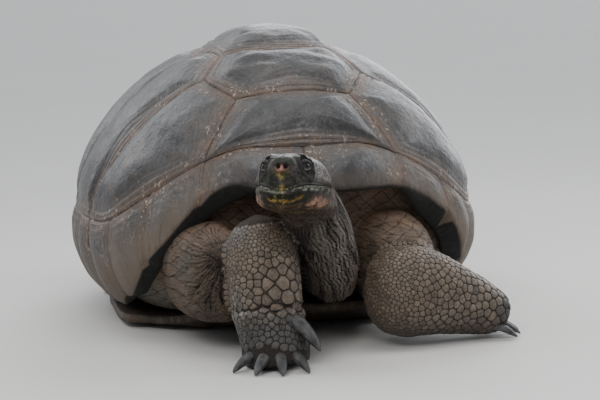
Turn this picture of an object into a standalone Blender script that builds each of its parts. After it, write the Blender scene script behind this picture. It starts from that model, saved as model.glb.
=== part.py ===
"""Giant tortoise of the domed Galapagos kind, life size and still, lying with its head half raised.

Metres, +Z up. The animal looks along -Y and its left side is at +X. The origin is the middle of the
flat underside of the plastron, on the floor. Every piece is a closed solid of its own, with a
hairline gap to its neighbours.
"""
import bmesh
import bpy
import numpy as np
from math import cos, pi, radians, sin
from mathutils import Vector

OBJECT_NAME = "giant_tortoise"

# Carapace: a dome over a rounded plan, widest at the belt and tucked in below it.
HALF_WIDTH = 0.418
HALF_LENGTH = 0.540
CENTRE_Y = 0.020
TOP_HEIGHT = 0.588
BELT_HEIGHT = 0.190
PLAN_POWER = 2.3          # 2 is an ellipse, more is squarer
ROUND_POWER = 1.20        # how the dome closes towards its top across the body
LONG_FULLNESS = 0.30      # how much fuller the dome is along the body
LOWER_DEPTH = 0.25
TUCK = 0.85
APEX_SHIFT = -0.03
RIM_FRONT = 0.315
RIM_SIDE = 0.050
RIM_REAR = 0.120

SCUTE_THICKNESS = 0.013
SCUTE_RISE = 0.020
SCUTE_GAP = 0.00035
MARGINAL_RISE = 0.007
MARGINAL_THICKNESS = 0.023
RIM_SCALLOP = 0.010
RIM_FLARE = 0.014         # extra depth of the edge where its underside opens towards the front
MARGINAL_STEPS = 4        # columns of the mesh in each marginal plate
SIDE_MARGINALS = 11
FIRST_MARGINAL = radians(24)      # plan angle of the wide first plate
TAIL_MARGINAL = 12.0      # the rear plate runs from 11 on one side to 11 on the other

# Corners of the back plates in plan (x on the left side, y), from front to rear.
VERTEBRAL_SEAMS = ((0.113, -0.338), (0.120, -0.165), (0.115, 0.130), (0.100, 0.345))
VERTEBRAL_TIPS = ((0.158, -0.238), (0.155, -0.010), (0.140, 0.250))
COSTAL_ENDS = (1, 4, 6, 8, 10)    # marginal counts where the side plates begin and end

TRUNK_GAP = 0.0065
PLASTRON_TOP = 0.032
BELLY_HEIGHT = 0.034      # underside of the trunk, over the plastron
MESH_GAP = 0.0003
GROWN = 0.0008

EYE_RADIUS = 0.0125
EYE_PLACE = (0.0560, 0.0370, 0.0300)   # forward, left and up from the head's centre
HEAD_CENTRE = (-0.060, -0.668, 0.340)
HEAD_YAW = radians(19.0)               # towards the animal's right
HEAD_PITCH = radians(10.0)


def smooth(t):
    """Rise softly from 0 to 1 as t goes from 0 to 1."""
    t = np.clip(t, 0.0, 1.0)
    return t * t * (3.0 - 2.0 * t)


def unit(v):
    """Scale vectors to length 1."""
    v = np.asarray(v, float)
    return v / np.linalg.norm(v, axis=-1, keepdims=True)


# Objects and materials.


def clear_scene():
    for old in list(bpy.data.objects):
        bpy.data.objects.remove(old, do_unlink=True)
    parts = bpy.data.collections.new(OBJECT_NAME)
    cutters = bpy.data.collections.new("cutters")
    for collection in (parts, cutters):
        bpy.context.scene.collection.children.link(collection)
    return parts, cutters


def make_material(name, colour, roughness):
    material = bpy.data.materials.new(name)
    material.use_nodes = True
    shader = material.node_tree.nodes["Principled BSDF"]
    shader.inputs["Base Color"].default_value = (*colour, 1.0)
    shader.inputs["Roughness"].default_value = roughness
    shader.inputs["Metallic"].default_value = 0.0
    return material


def add_mesh(name, points, faces, material, collection):
    """Make an object from points and faces, with its faces turned outwards."""
    mesh = bpy.data.meshes.new(name)
    mesh.from_pydata([tuple(map(float, p)) for p in points], [], faces)
    work = bmesh.new()
    work.from_mesh(mesh)
    bmesh.ops.recalc_face_normals(work, faces=work.faces)
    work.to_mesh(mesh)
    work.free()
    mesh.shade_smooth()
    mesh.set_sharp_from_angle(angle=radians(40))
    mesh.materials.append(material)
    thing = bpy.data.objects.new(name, mesh)
    collection.objects.link(thing)
    return thing


def loft_faces(rings, columns, start_pole, end_pole):
    """Triangles of a tube of rings, closed by a point or by one flat face at each end."""
    faces = []
    for ring in range(rings - 1):
        for column in range(columns):
            after = (column + 1) % columns
            a = ring * columns
            b = a + columns
            faces.append((a + column, a + after, b + after))
            faces.append((a + column, b + after, b + column))
    last = (rings - 1) * columns
    extra = rings * columns
    if start_pole:
        faces += [(extra, (c + 1) % columns, c) for c in range(columns)]
        extra += 1
    else:
        faces.append(tuple(range(columns))[::-1])
    if end_pole:
        faces += [(extra, last + c, last + (c + 1) % columns) for c in range(columns)]
    else:
        faces.append(tuple(range(last, last + columns)))
    return faces


def add_loft(name, rings, material, collection, start_pole=None, end_pole=None):
    """Join rings of points, all of one count, into a closed solid."""
    points = [p for ring in rings for p in ring]
    for pole in (start_pole, end_pole):
        if pole is not None:
            points.append(pole)
    faces = loft_faces(len(rings), len(rings[0]), start_pole is not None, end_pole is not None)
    return add_mesh(name, points, faces, material, collection)


def boolean(thing, cutter, operation="DIFFERENCE"):
    """Cut a piece with, or keep it inside, a cutter that stays out of the render."""
    cutter.hide_render = True
    cutter.display_type = "WIRE"
    modifier = thing.modifiers.new(operation.title() + "_" + cutter.name, "BOOLEAN")
    modifier.operation = operation
    modifier.solver = "EXACT"
    modifier.object = cutter


# The dome.


def plan_radius(angle):
    """Half-size of the plan at an angle from the front, positive towards the left side."""
    across = np.abs(np.sin(angle) / HALF_WIDTH) ** PLAN_POWER
    along = np.abs(np.cos(angle) / HALF_LENGTH) ** PLAN_POWER
    return (across + along) ** (-1.0 / PLAN_POWER)


def round_power(angle):
    return ROUND_POWER - LONG_FULLNESS * np.cos(angle) ** 2


def dome(angle, lift):
    """Point of the carapace at an angle in plan and a lift, in radians, above the belt."""
    angle = np.asarray(angle, float)
    lift = np.asarray(lift, float)
    c = np.abs(np.cos(lift))
    s = np.abs(np.sin(lift))
    above = lift >= 0
    reach = np.where(above, c ** round_power(angle), 1.0 - TUCK * (1.0 - c))
    height = np.where(above, BELT_HEIGHT + (TOP_HEIGHT - BELT_HEIGHT) * s ** ROUND_POWER,
                      BELT_HEIGHT - LOWER_DEPTH * s)
    radius = plan_radius(angle) * reach
    y = CENTRE_Y - radius * np.cos(angle) + APEX_SHIFT * np.where(above, s * s, 0.0)
    return np.stack([radius * np.sin(angle), y, height], -1)


def map_point(q):
    """Point of the carapace from the flat map, where the apex is 0 and the belt is 1 away."""
    q = np.asarray(q, float)
    away = np.maximum(np.hypot(q[..., 0], q[..., 1]), 1e-9)
    return dome(np.arctan2(q[..., 0], -q[..., 1]), (1.0 - away) * pi / 2)


def map_normal(q):
    """Outward direction of the carapace at a point of the flat map."""
    q = np.asarray(q, float)
    step = 0.004
    across = map_point(q + [step, 0]) - map_point(q - [step, 0])
    along = map_point(q + [0, step]) - map_point(q - [0, step])
    return unit(np.cross(across, along))


def to_map(angle, lift):
    away = 1.0 - np.asarray(lift, float) * 2 / pi
    return np.stack([away * np.sin(angle), -away * np.cos(angle)], -1)


def lift_at(height):
    """Lift above the belt at which the dome has a height."""
    upper = np.clip((height - BELT_HEIGHT) / (TOP_HEIGHT - BELT_HEIGHT), 0, 1) ** (1 / ROUND_POWER)
    lower = np.clip((BELT_HEIGHT - height) / LOWER_DEPTH, 0, 1)
    return np.where(height >= BELT_HEIGHT, np.arcsin(upper), -np.arcsin(lower))


def locate(x, y):
    """Map place of the dome's point that lies over x, y in plan."""
    shift = 0.0
    for _ in range(30):
        away_y = y - CENTRE_Y - shift
        angle = np.arctan2(x, -away_y)
        reach = np.hypot(x, away_y) / plan_radius(angle)
        c = np.clip(reach, 0, 1) ** (1 / round_power(angle))
        shift = APEX_SHIFT * (1 - c * c)
    return to_map(angle, np.arccos(c))


def rim_height(angle):
    """Height of the lower edge: high over the neck, low at the flanks, raised at the tail."""
    degrees_off = np.degrees(np.abs(angle))
    right = np.asarray(angle) < 0
    fall_start = np.where(right, 12.0, 18.0)
    fall_end = np.where(right, 54.0, 64.0)
    fall = smooth((degrees_off - fall_start) / (fall_end - fall_start))
    height = RIM_FRONT + (RIM_SIDE - RIM_FRONT) * fall
    return height + (RIM_REAR - RIM_SIDE) * smooth((degrees_off - 125) / 35)


def rim_flare(angle):
    """Share of the flare at a plan angle: from beside the neck to the flanks, earlier on the right."""
    degrees_off = np.degrees(np.abs(angle))
    start, full, end = (6.0, 20.0, 48.0) if angle < 0 else (22.0, 33.0, 56.0)
    return smooth((degrees_off - start) / (full - start)) * smooth((end - degrees_off) / 14)


def belt_height(angle):
    """Height of the seam between the marginals and the plates above them."""
    degrees_off = np.degrees(np.abs(angle))
    degrees_off = np.minimum(degrees_off, 360 - degrees_off)  # counts run on past the tail on one side
    front = 0.388 - 0.158 * smooth((degrees_off - 12) / 48)
    return front + 0.045 * smooth((degrees_off - 135) / 35)


def marginal_angle(count):
    """Plan angle at a number of marginals from the front: the first is wide, the rest are even."""
    away = np.abs(np.asarray(count, float))
    even = (pi - FIRST_MARGINAL) / (TAIL_MARGINAL - 1.0)
    beyond = FIRST_MARGINAL + even * (away - 1.0)
    return np.sign(count) * np.where(away < 1.0, FIRST_MARGINAL * away, beyond)


# Plates over the dome.


def scute(name, corners, material, collection, rise=SCUTE_RISE):
    """One plate over a closed outline in the map: domed on top, with an even underside."""
    outline = np.array(corners)
    middle = outline.mean(axis=0)
    edge_points = map_point(outline)
    reach = np.linalg.norm(edge_points - map_point(middle), axis=1)
    shrink = (1.0 - SCUTE_GAP / reach)[:, None]
    rings = []
    for share in (0.5, 0.85, 1.0):
        q = middle + (outline - middle) * share * shrink
        rings.append(map_point(q) + map_normal(q) * rise * (1.0 - share ** 2.4))
    for share in (1.0, 0.5):
        q = middle + (outline - middle) * share * shrink
        rings.append(map_point(q) - map_normal(q) * SCUTE_THICKNESS)
    top = map_point(middle) + map_normal(middle) * rise
    under = map_point(middle) - map_normal(middle) * SCUTE_THICKNESS
    return add_loft(name, rings, material, collection, top, under)


def map_line(start, end, steps):
    """Points along a straight line in the map, without its last one."""
    share = np.arange(steps)[:, None] / steps
    return list(np.asarray(start) * (1 - share) + np.asarray(end) * share)


def belt_line(first, last):
    """Points along the belt seam between two marginal counts, without the last one."""
    steps = int(round(abs(last - first) * MARGINAL_STEPS))
    counts = first + (last - first) * np.arange(steps) / steps
    angles = marginal_angle(counts)
    return list(to_map(angles, lift_at(belt_height(angles))))


def belt_corner(count):
    angle = marginal_angle(count)
    return to_map(angle, lift_at(belt_height(angle)))


def side_points(side):
    """Map places of the vertebral corners on one side (+1 left, -1 right)."""
    flip = np.array([side, 1.0])
    seams = [locate(x, y) * flip for x, y in VERTEBRAL_SEAMS]
    tips = [locate(x, y) * flip for x, y in VERTEBRAL_TIPS]
    return seams, tips


def add_vertebrals(material, collection):
    left_seams, left_tips = side_points(1)
    right_seams, right_tips = side_points(-1)
    first = COSTAL_ENDS[0]
    last = COSTAL_ENDS[-1]
    outline = belt_line(-first, first) + map_line(belt_corner(first), left_seams[0], 3)
    outline += map_line(left_seams[0], right_seams[0], 4)
    outline += map_line(right_seams[0], belt_corner(-first), 3)
    scute("vertebral_1", outline, material, collection)
    for k in range(3):
        outline = map_line(left_seams[k], left_tips[k], 3)
        outline += map_line(left_tips[k], left_seams[k + 1], 3)
        outline += map_line(left_seams[k + 1], right_seams[k + 1], 4)
        outline += map_line(right_seams[k + 1], right_tips[k], 3)
        outline += map_line(right_tips[k], right_seams[k], 3)
        outline += map_line(right_seams[k], left_seams[k], 4)
        scute("vertebral_%d" % (k + 2), outline, material, collection)
    around = 2 * TAIL_MARGINAL - last
    outline = belt_line(last, around) + map_line(belt_corner(-last), right_seams[3], 3)
    outline += map_line(right_seams[3], left_seams[3], 4)
    outline += map_line(left_seams[3], belt_corner(last), 3)
    scute("vertebral_5", outline, material, collection)


def add_costals(side, material, collection):
    seams, tips = side_points(side)
    word = "left" if side > 0 else "right"
    ends = [side * count for count in COSTAL_ENDS]
    for k in range(4):
        outline = belt_line(ends[k], ends[k + 1])
        if k == 3:
            outline += map_line(belt_corner(ends[4]), seams[3], 3)
        else:
            outline += map_line(belt_corner(ends[k + 1]), tips[k], 5)
            outline += map_line(tips[k], seams[k], 3)
        if k == 0:
            outline += map_line(seams[0], belt_corner(ends[0]), 3)
        else:
            outline += map_line(seams[k], tips[k - 1], 3)
            outline += map_line(tips[k - 1], belt_corner(ends[k]), 5)
        scute("costal_%s_%d" % (word, k + 1), outline, material, collection)


# The edge plates.


def marginal_ring(count, grow):
    """Cross-section of the shell's edge at a marginal count: outer face, round lip, inner face."""
    angle = marginal_angle(count)
    swell = sin(pi * count) ** 2
    bump = MARGINAL_RISE * swell
    flare = rim_flare(angle)
    raised, dropped = (0.030, 0.0) if angle < 0 else (0.022, 0.008)
    scallop = RIM_SCALLOP * abs(sin(pi * count)) ** 0.8
    low = lift_at(rim_height(angle) + raised * flare - scallop)
    lowest = lift_at(rim_height(angle) - dropped * flare - scallop / 2)
    high = lift_at(belt_height(angle))
    ring = []
    for share, rise in ((0.0, 0.0), (0.35, 1.0), (0.72, 1.0), (0.93, 0.6)):
        lift = high + (low - high) * share
        q = to_map(angle, lift)
        ring.append(map_point(q) + map_normal(q) * bump * rise)
    lip = to_map(angle, low)
    ring.append(map_point(lip) - map_normal(lip) * MARGINAL_THICKNESS * 0.35)
    lip = to_map(angle, lowest)
    depth = MARGINAL_THICKNESS * 0.95 + RIM_FLARE * flare
    ring.append(map_point(lip) - map_normal(lip) * depth + np.array([0, 0, 0.006 * (1 - flare)]))
    inside = ((0.7, MARGINAL_THICKNESS + 0.6 * RIM_FLARE * flare), (0.3, 0.017), (0.0, SCUTE_THICKNESS))
    for share, thickness in inside:
        lift = high + (lowest - high) * share
        q = to_map(angle, lift)
        ring.append(map_point(q) - map_normal(q) * thickness)
    down = unit(ring[1] - ring[0])
    ring[0] = ring[0] + down * SCUTE_GAP
    ring[-1] = ring[-1] + down * SCUTE_GAP
    ring = np.array(ring)
    spokes = ring - ring.mean(axis=0)
    plane = unit(np.cross(spokes, np.roll(spokes, -1, axis=0)).sum(axis=0))
    outward = np.cross(unit(np.roll(ring, -1, axis=0) - np.roll(ring, 1, axis=0)), plane)
    return ring + unit(outward) * grow


def add_marginals(name, first, last, material, collection, grow=0.0):
    """A run of edge plates grown together, parted from the next run by a thin gap."""
    steps = int(round(abs(last - first) * MARGINAL_STEPS))
    counts = first + (last - first) * np.arange(steps + 1) / steps
    rings = [marginal_ring(count, grow) for count in counts]
    for end, beside in ((0, 1), (-1, -2)):
        along = unit(rings[beside] - rings[end])
        rings[end] = rings[end] + along * 2 * SCUTE_GAP
    return add_loft(name, rings, material, collection, rings[0].mean(axis=0), rings[-1].mean(axis=0))


# Plastron and trunk.

PLASTRON_OUTLINE = ((-0.435, 0.070), (-0.420, 0.150), (-0.300, 0.205), (-0.205, 0.285), (-0.160, 0.338),
                    (0.000, 0.346), (0.145, 0.338), (0.200, 0.262), (0.245, 0.188), (0.380, 0.160),
                    (0.415, 0.080))


def plastron_lift(y):
    """How far the two lobes of the plastron curve up from the floor."""
    return 0.046 * smooth((-y - 0.21) / 0.21) + 0.020 * smooth((y - 0.22) / 0.20)


def add_plastron(name, material, collection, grow=0.0):
    """The belly plate: flat on the floor in the middle, its edges and lobes curving up."""
    half = [(w, y) for y, w in PLASTRON_OUTLINE]
    outline = np.array(half + [(-w, y) for w, y in half[::-1]])
    outline = outline * (1.0 + grow / np.linalg.norm(outline, axis=1, keepdims=True))
    rings = []
    for share in (0.45, 0.82, 1.0):
        edge = 0.012 * smooth((share - 0.82) / 0.18) - grow
        rings.append([(x, y, edge + plastron_lift(y)) for x, y in outline * share])
    top = PLASTRON_TOP + grow
    for share in (1.0, 0.8, 0.48):
        rings.append([(x, y, top + plastron_lift(y)) for x, y in outline * share])
    return add_loft(name, rings, material, collection, (0, 0, -grow), (0, 0, top))


# Below the rim: share of the way down to the plastron, then reach at the front, flanks and rear.
TRUNK_DROP = ((0.25, 0.955, 0.97, 0.70), (0.60, 0.925, 0.91, 0.62), (0.85, 0.86, 0.82, 0.58),
              (1.00, 0.74, 0.68, 0.54), (1.00, 0.42, 0.44, 0.44))


def trunk_rings(grow=0.0):
    """The body inside the shell, and its skin across the front and rear openings."""
    columns = 28
    angles = np.arange(columns) * 2 * pi / columns
    signed = np.where(angles > pi, angles - 2 * pi, angles)
    rearward = smooth((np.degrees(np.abs(signed)) - 112) / 18)
    hang = np.minimum(rim_height(signed) + 0.045 + 0.05 * rearward, belt_height(signed) - 0.02)
    top = lift_at(hang)
    opening = smooth((hang - 0.10) / 0.12) * (1 - rearward)
    rings = []
    for share in (0.93, 0.75, 0.55, 0.34, 0.14, 0.0):
        lift = top + (pi / 2 - top) * share
        q = to_map(signed, lift)
        depth = np.where(share > 0.2, SCUTE_THICKNESS, MARGINAL_THICKNESS + 0.004) + TRUNK_GAP
        rings.append(map_point(q) - map_normal(q) * (depth - grow)[..., None])
    rim = rings[-1]
    for share, front, side, rear in TRUNK_DROP:
        factor = side + (front - side) * opening + (rear - side) * rearward
        x = rim[:, 0] * factor
        y = CENTRE_Y + (rim[:, 1] - CENTRE_Y) * factor
        floor = BELLY_HEIGHT + plastron_lift(y)
        z = rim[:, 2] + (floor - rim[:, 2]) * share
        outward = unit(np.stack([x, y - CENTRE_Y, 0 * z], -1))
        rings.append(np.stack([x, y, z], -1) + (outward - [0, 0, share ** 4]) * grow)
    crown = map_point((0, 0)) - np.array([0, 0, SCUTE_THICKNESS + TRUNK_GAP - grow])
    return rings, crown, (0, 0, BELLY_HEIGHT - grow)


def add_trunk(material, collection, name="trunk", grow=0.0):
    rings, crown, base = trunk_rings(grow)
    return add_loft(name, rings, material, collection, crown, base)


# Limbs.


def spline(stations, per_span):
    """Smooth curve through stations of numbers, passing each one (Catmull-Rom)."""
    s = np.array(stations, float)
    padded = np.vstack([2 * s[0] - s[1], s, 2 * s[-1] - s[-2]])
    rows = []
    for k in range(len(s) - 1):
        a, b, c, d = padded[k:k + 4]
        for t in np.arange(per_span) / per_span:
            rows.append(0.5 * (2 * b + (c - a) * t + (2 * a - 5 * b + 4 * c - d) * t * t
                               + (3 * b - a - 3 * c + d) * t ** 3))
    rows.append(s[-1])
    return np.array(rows)


def tube_rings(stations, columns, reference, per_span=1, grow=0.0, power=2.2):
    """Oval rings along stations of x, y, z, half-width and half-height."""
    rows = spline(stations, per_span)
    centres = rows[:, :3]
    tangents = unit(np.gradient(centres, axis=0))
    centres = centres + tangents * grow * np.array([-1.0] + [0.0] * (len(rows) - 2) + [1.0])[:, None]
    rings = []
    for centre, tangent, row in zip(centres, tangents, rows):
        wide = unit(np.cross(tangent, reference))
        high = np.cross(wide, tangent)
        angles = np.arange(columns) * 2 * pi / columns
        c = np.sign(np.cos(angles)) * np.abs(np.cos(angles)) ** (2 / power)
        s = np.sign(np.sin(angles)) * np.abs(np.sin(angles)) ** (2 / power)
        offset = np.outer(c * (row[3] + grow), wide) + np.outer(s * (row[4] + grow), high)
        rings.append(centre + offset)
    return rings, centres, tangents


def on_floor(rings):
    """Press whatever lies below the floor flat against it."""
    return [np.column_stack([ring[:, :2], np.maximum(ring[:, 2], 0.0)]) for ring in rings]


# Stations run from the body outwards: x, y, z, half-width, half-height. Left is +x.
RIGHT_ARM = ((-0.180, -0.270, 0.158, 0.080, 0.098), (-0.190, -0.350, 0.152, 0.083, 0.102),
             (-0.187, -0.420, 0.148, 0.081, 0.098), (-0.172, -0.485, 0.147, 0.074, 0.092),
             (-0.145, -0.540, 0.150, 0.058, 0.082))
RIGHT_FOREARM = ((-0.110, -0.560, 0.262, 0.036, 0.030), (-0.108, -0.563, 0.238, 0.058, 0.050),
                 (-0.105, -0.572, 0.195, 0.067, 0.062), (-0.104, -0.588, 0.145, 0.070, 0.067),
                 (-0.102, -0.605, 0.098, 0.067, 0.066), (-0.098, -0.622, 0.055, 0.063, 0.068),
                 (-0.093, -0.636, 0.020, 0.065, 0.075), (-0.091, -0.640, 0.000, 0.060, 0.070))
LEFT_ARM = ((0.165, -0.260, 0.150, 0.082, 0.095), (0.178, -0.350, 0.145, 0.086, 0.104),
            (0.180, -0.425, 0.138, 0.084, 0.100), (0.174, -0.485, 0.124, 0.076, 0.084))
LEFT_FOREARM = ((0.110, -0.545, 0.109, 0.046, 0.054), (0.136, -0.540, 0.108, 0.068, 0.080),
                (0.178, -0.530, 0.105, 0.079, 0.090), (0.226, -0.520, 0.096, 0.077, 0.083),
                (0.274, -0.512, 0.080, 0.067, 0.070), (0.318, -0.506, 0.064, 0.061, 0.058),
                (0.352, -0.500, 0.051, 0.056, 0.048), (0.373, -0.497, 0.042, 0.046, 0.035))
THIGH = ((0.122, 0.146, 0.120, 0.066, 0.066), (0.187, 0.218, 0.122, 0.072, 0.064),
         (0.228, 0.279, 0.118, 0.060, 0.054), (0.238, 0.294, 0.114, 0.043, 0.040))
SHANK = ((0.222, 0.274, 0.118, 0.044, 0.044), (0.223, 0.276, 0.105, 0.050, 0.050),
         (0.226, 0.278, 0.085, 0.052, 0.052), (0.232, 0.281, 0.060, 0.053, 0.052),
         (0.243, 0.284, 0.032, 0.061, 0.059), (0.247, 0.286, 0.000, 0.060, 0.058))
TAIL = ((0.000, 0.310, 0.110, 0.046, 0.044), (0.000, 0.380, 0.102, 0.044, 0.042),
        (0.006, 0.440, 0.086, 0.040, 0.038),
        (0.032, 0.482, 0.064, 0.031, 0.029), (0.070, 0.504, 0.042, 0.021, 0.020),
        (0.104, 0.510, 0.026, 0.010, 0.010))
NECK = ((0.042, -0.340, 0.170, 0.062, 0.072), (0.044, -0.430, 0.145, 0.058, 0.064),
        (0.042, -0.500, 0.142, 0.048, 0.054), (0.032, -0.540, 0.182, 0.052, 0.052),
        (0.012, -0.562, 0.236, 0.057, 0.055), (-0.020, -0.600, 0.296, 0.056, 0.055),
        (-0.040, -0.634, 0.330, 0.052, 0.045))

# Head sections: forward of the head's centre, half-width, top and bottom above it.
HEAD = ((0.099, 0.015, 0.031, -0.014), (0.093, 0.027, 0.040, -0.029), (0.078, 0.038, 0.048, -0.041),
        (0.058, 0.046, 0.053, -0.047), (0.034, 0.054, 0.056, -0.051), (0.006, 0.062, 0.057, -0.053),
        (-0.024, 0.069, 0.055, -0.053), (-0.052, 0.069, 0.050, -0.050), (-0.076, 0.058, 0.040, -0.041),
        (-0.091, 0.038, 0.026, -0.027))
HEAD_LEVEL = -0.008       # where the sections are widest
HEAD_POWER = 2.35         # 2 is an ellipse, more is squarer
# Side outline of the lower jaw: along the mouth to its corner, then down behind it.
JAW = ((0.130, -0.021), (0.094, -0.021), (0.084, -0.013), (0.060, -0.009), (0.020, -0.006),
       (-0.020, -0.009), (-0.040, -0.018), (-0.062, -0.080), (0.130, -0.080))


def limb_pieces(lower, columns, reference, grow):
    """Rings of the lower limb, pressed on the floor, with the points that close its two ends."""
    rings, centres, tangents = tube_rings(lower, columns, reference, 1, grow)
    top = centres[0] - tangents[0] * (0.35 * lower[0][3] + grow)
    tip = centres[-1] + tangents[-1] * (0.35 * lower[-1][3] + grow)
    tip[2] = max(tip[2], 0.0)
    return on_floor(rings), tangents, top, tip


def add_limb(name, upper, lower, wrist, reference, front, skin, parts, cutters, body_cutters,
             columns=14):
    """An upper part that grows out of the trunk, a lower part and a foot.

    In a front leg the lower part is whole and the upper one stops at it, and in a hind leg the
    upper part is whole. The grown copy of the lower part and foot, a cutter, is returned.
    """
    arm = add_loft(name + "_upper", on_floor(tube_rings(upper, columns, (0, 0, 1))[0]), skin, parts)
    rings, tangents, top, tip = limb_pieces(lower, columns, reference, 0.0)
    shin = add_loft(name + "_lower", rings[:wrist + 1], skin, parts, top)
    foot_rings = [rings[wrist] + tangents[wrist] * MESH_GAP] + rings[wrist + 1:]
    add_loft(name + "_foot", foot_rings, skin, parts, None, None if lower[-1][2] <= 0.0 else tip)
    rings, tangents, top, tip = limb_pieces(lower, columns, reference, GROWN)
    lower_cutter = add_loft(name + "_lower_cutter", rings, skin, cutters, top, tip)
    for cutter in body_cutters:
        boolean(arm, cutter)
    boolean(shin, body_cutters[0])
    if front:
        boolean(arm, lower_cutter)
    else:
        grown = tube_rings(upper, columns, (0, 0, 1), 1, GROWN)[0]
        boolean(shin, add_loft(name + "_upper_cutter", on_floor(grown), skin, cutters))
    return lower_cutter


def mirrored(stations):
    return tuple((-s[0], *s[1:]) for s in stations)


CLAW_BEND = radians(22)
CLAW_TAPER = 0.62


def add_claw(name, base, heading, dip, length, radius, horn, parts, foot_cutter):
    """A curved horn tip that leaves the foot at a heading from the front and bends down."""
    rings = []
    place = np.array(base, float)
    steps = 3
    for k in range(steps):
        angle = dip + CLAW_BEND * k / steps
        ahead = np.array([sin(heading) * cos(angle), -cos(heading) * cos(angle), -sin(angle)])
        across = np.array([cos(heading), sin(heading), 0.0])
        above = np.cross(across, ahead) * -1.0
        size = radius * (1.0 - CLAW_TAPER * (k / steps) ** 1.4)
        turn = np.arange(6) * pi / 3
        offset = np.outer(np.cos(turn), across) + np.outer(np.sin(turn), above) * 0.8
        rings.append(place + offset * size)
        place = place + ahead * length / steps
    place[2] = max(place[2], 0.004)
    claw = add_loft(name, [np.column_stack([r[:, :2], np.maximum(r[:, 2], 0.002)]) for r in rings],
                    horn, parts, None, place)
    boolean(claw, foot_cutter)


# Where the claws spread from, and how far out of that point their roots lie, sideways and ahead.
PLANTED_FOOT = (-0.092, -0.636, 0.026)
PLANTED_SPREAD = (0.060, 0.068)
LAID_FOOT = (0.370, -0.497, 0.026)
HIND_FOOT = (0.245, 0.286, 0.020)
HIND_SPREAD = (0.056, 0.054)


def add_claws(horn, parts, right_fore, left_fore, left_hind, right_hind):
    """Five claws on each front foot and four on each hind foot."""
    inner = (-0.060, -0.664, 0.084)
    add_claw("foreleg_right_claw_1", inner, radians(50), radians(31), 0.074, 0.0172,
             horn, parts, right_fore)
    x, y, z = PLANTED_FOOT
    for k in range(4):
        turn = radians(24 - 28 * k)
        base = (x + sin(turn) * PLANTED_SPREAD[0], y - cos(turn) * PLANTED_SPREAD[1], z)
        add_claw("foreleg_right_claw_%d" % (k + 2), base, turn, radians(14), 0.052, 0.0125,
                 horn, parts, right_fore)
    x, y, z = LAID_FOOT
    for k in range(5):
        off = k - 2
        base = (x - 0.004 * off ** 2, y + 0.0215 * off, z)
        add_claw("foreleg_left_claw_%d" % (k + 1), base, radians(90 + 11 * off), radians(12),
                 0.046, 0.0105, horn, parts, left_fore)
    x, y, z = HIND_FOOT
    for word, side, cutter in (("left", 1, left_hind), ("right", -1, right_hind)):
        for k in range(4):
            turn = radians(45 + 33 * k)
            base = (side * (x + sin(turn) * HIND_SPREAD[0]), y - cos(turn) * HIND_SPREAD[1], z)
            add_claw("hindleg_%s_claw_%d" % (word, k + 1), base, turn * side, radians(16),
                     0.056, 0.012, horn, parts, cutter)


# Head, neck and tail.


def head_axes():
    """Forward, left and up directions of the head."""
    level = np.array([-sin(HEAD_YAW), -cos(HEAD_YAW), 0.0])
    forward = level * cos(HEAD_PITCH) + np.array([0.0, 0.0, sin(HEAD_PITCH)])
    left = np.array([cos(HEAD_YAW), -sin(HEAD_YAW), 0.0])
    return forward, left, np.cross(forward, left)


def head_point(ahead, aside, above):
    forward, left, up = head_axes()
    return np.array(HEAD_CENTRE) + forward * ahead + left * aside + up * above


def head_rings(grow=0.0, columns=24):
    forward, left, up = head_axes()
    rings = []
    for ahead, half, top, bottom in HEAD:
        turn = np.arange(columns) * 2 * pi / columns
        c = np.sign(np.cos(turn)) * np.abs(np.cos(turn)) ** (2 / HEAD_POWER)
        s = np.sign(np.sin(turn)) * np.abs(np.sin(turn)) ** (2 / HEAD_POWER)
        tall = np.where(s > 0, top - HEAD_LEVEL, HEAD_LEVEL - bottom) + grow
        shift = grow if ahead > 0 else -grow
        centre = head_point(ahead + shift, 0.0, HEAD_LEVEL)
        rings.append(centre + np.outer(c * (half + grow), left) + np.outer(s * tall, up))
    return rings, head_point(0.101 + grow, 0, 0.004), head_point(-0.097 - grow, 0, -0.002)


def add_head_loft(name, material, collection, grow=0.0):
    rings, nose, nape = head_rings(grow)
    return add_loft(name, rings, material, collection, nose, nape)


def add_jaw_cutter(name, grow, collection):
    """A block under the mouth line, as wide as the head, grown by a margin all round."""
    outline = [(ahead, above + grow) for ahead, above in JAW]
    work = bmesh.new()
    points = [work.verts.new(head_point(ahead, -0.1, above)) for ahead, above in outline]
    face = work.faces.new(points)
    sweep = bmesh.ops.extrude_face_region(work, geom=[face])
    moved = [v for v in sweep["geom"] if isinstance(v, bmesh.types.BMVert)]
    bmesh.ops.translate(work, verts=moved, vec=Vector(head_axes()[1] * 0.2))
    bmesh.ops.recalc_face_normals(work, faces=work.faces)
    mesh = bpy.data.meshes.new(name)
    work.to_mesh(mesh)
    work.free()
    cutter = bpy.data.objects.new(name, mesh)
    collection.objects.link(cutter)
    return cutter


def add_ball(name, centre, radius, material, collection):
    work = bmesh.new()
    bmesh.ops.create_uvsphere(work, u_segments=10, v_segments=6, radius=radius)
    mesh = bpy.data.meshes.new(name)
    work.to_mesh(mesh)
    work.free()
    mesh.shade_smooth()
    mesh.materials.append(material)
    ball = bpy.data.objects.new(name, mesh)
    ball.location = centre
    collection.objects.link(ball)
    return ball


def add_head(skin, horn, eye, parts, cutters):
    """Head with eye sockets, and the lower jaw parted from it along the mouth."""
    head = add_head_loft("head", skin, parts)
    jaw = add_head_loft("lower_jaw", horn, parts)
    boolean(head, add_jaw_cutter("mouth_cutter", MESH_GAP, cutters))
    boolean(jaw, add_jaw_cutter("jaw_keeper", 0.0, cutters), "INTERSECT")
    ahead, aside, above = EYE_PLACE
    for word, side in (("left", 1), ("right", -1)):
        centre = head_point(ahead, aside * side, above)
        add_ball("eye_" + word, centre, EYE_RADIUS, eye, parts)
        boolean(head, add_ball("socket_" + word, centre, EYE_RADIUS + MESH_GAP, eye, cutters))


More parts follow.
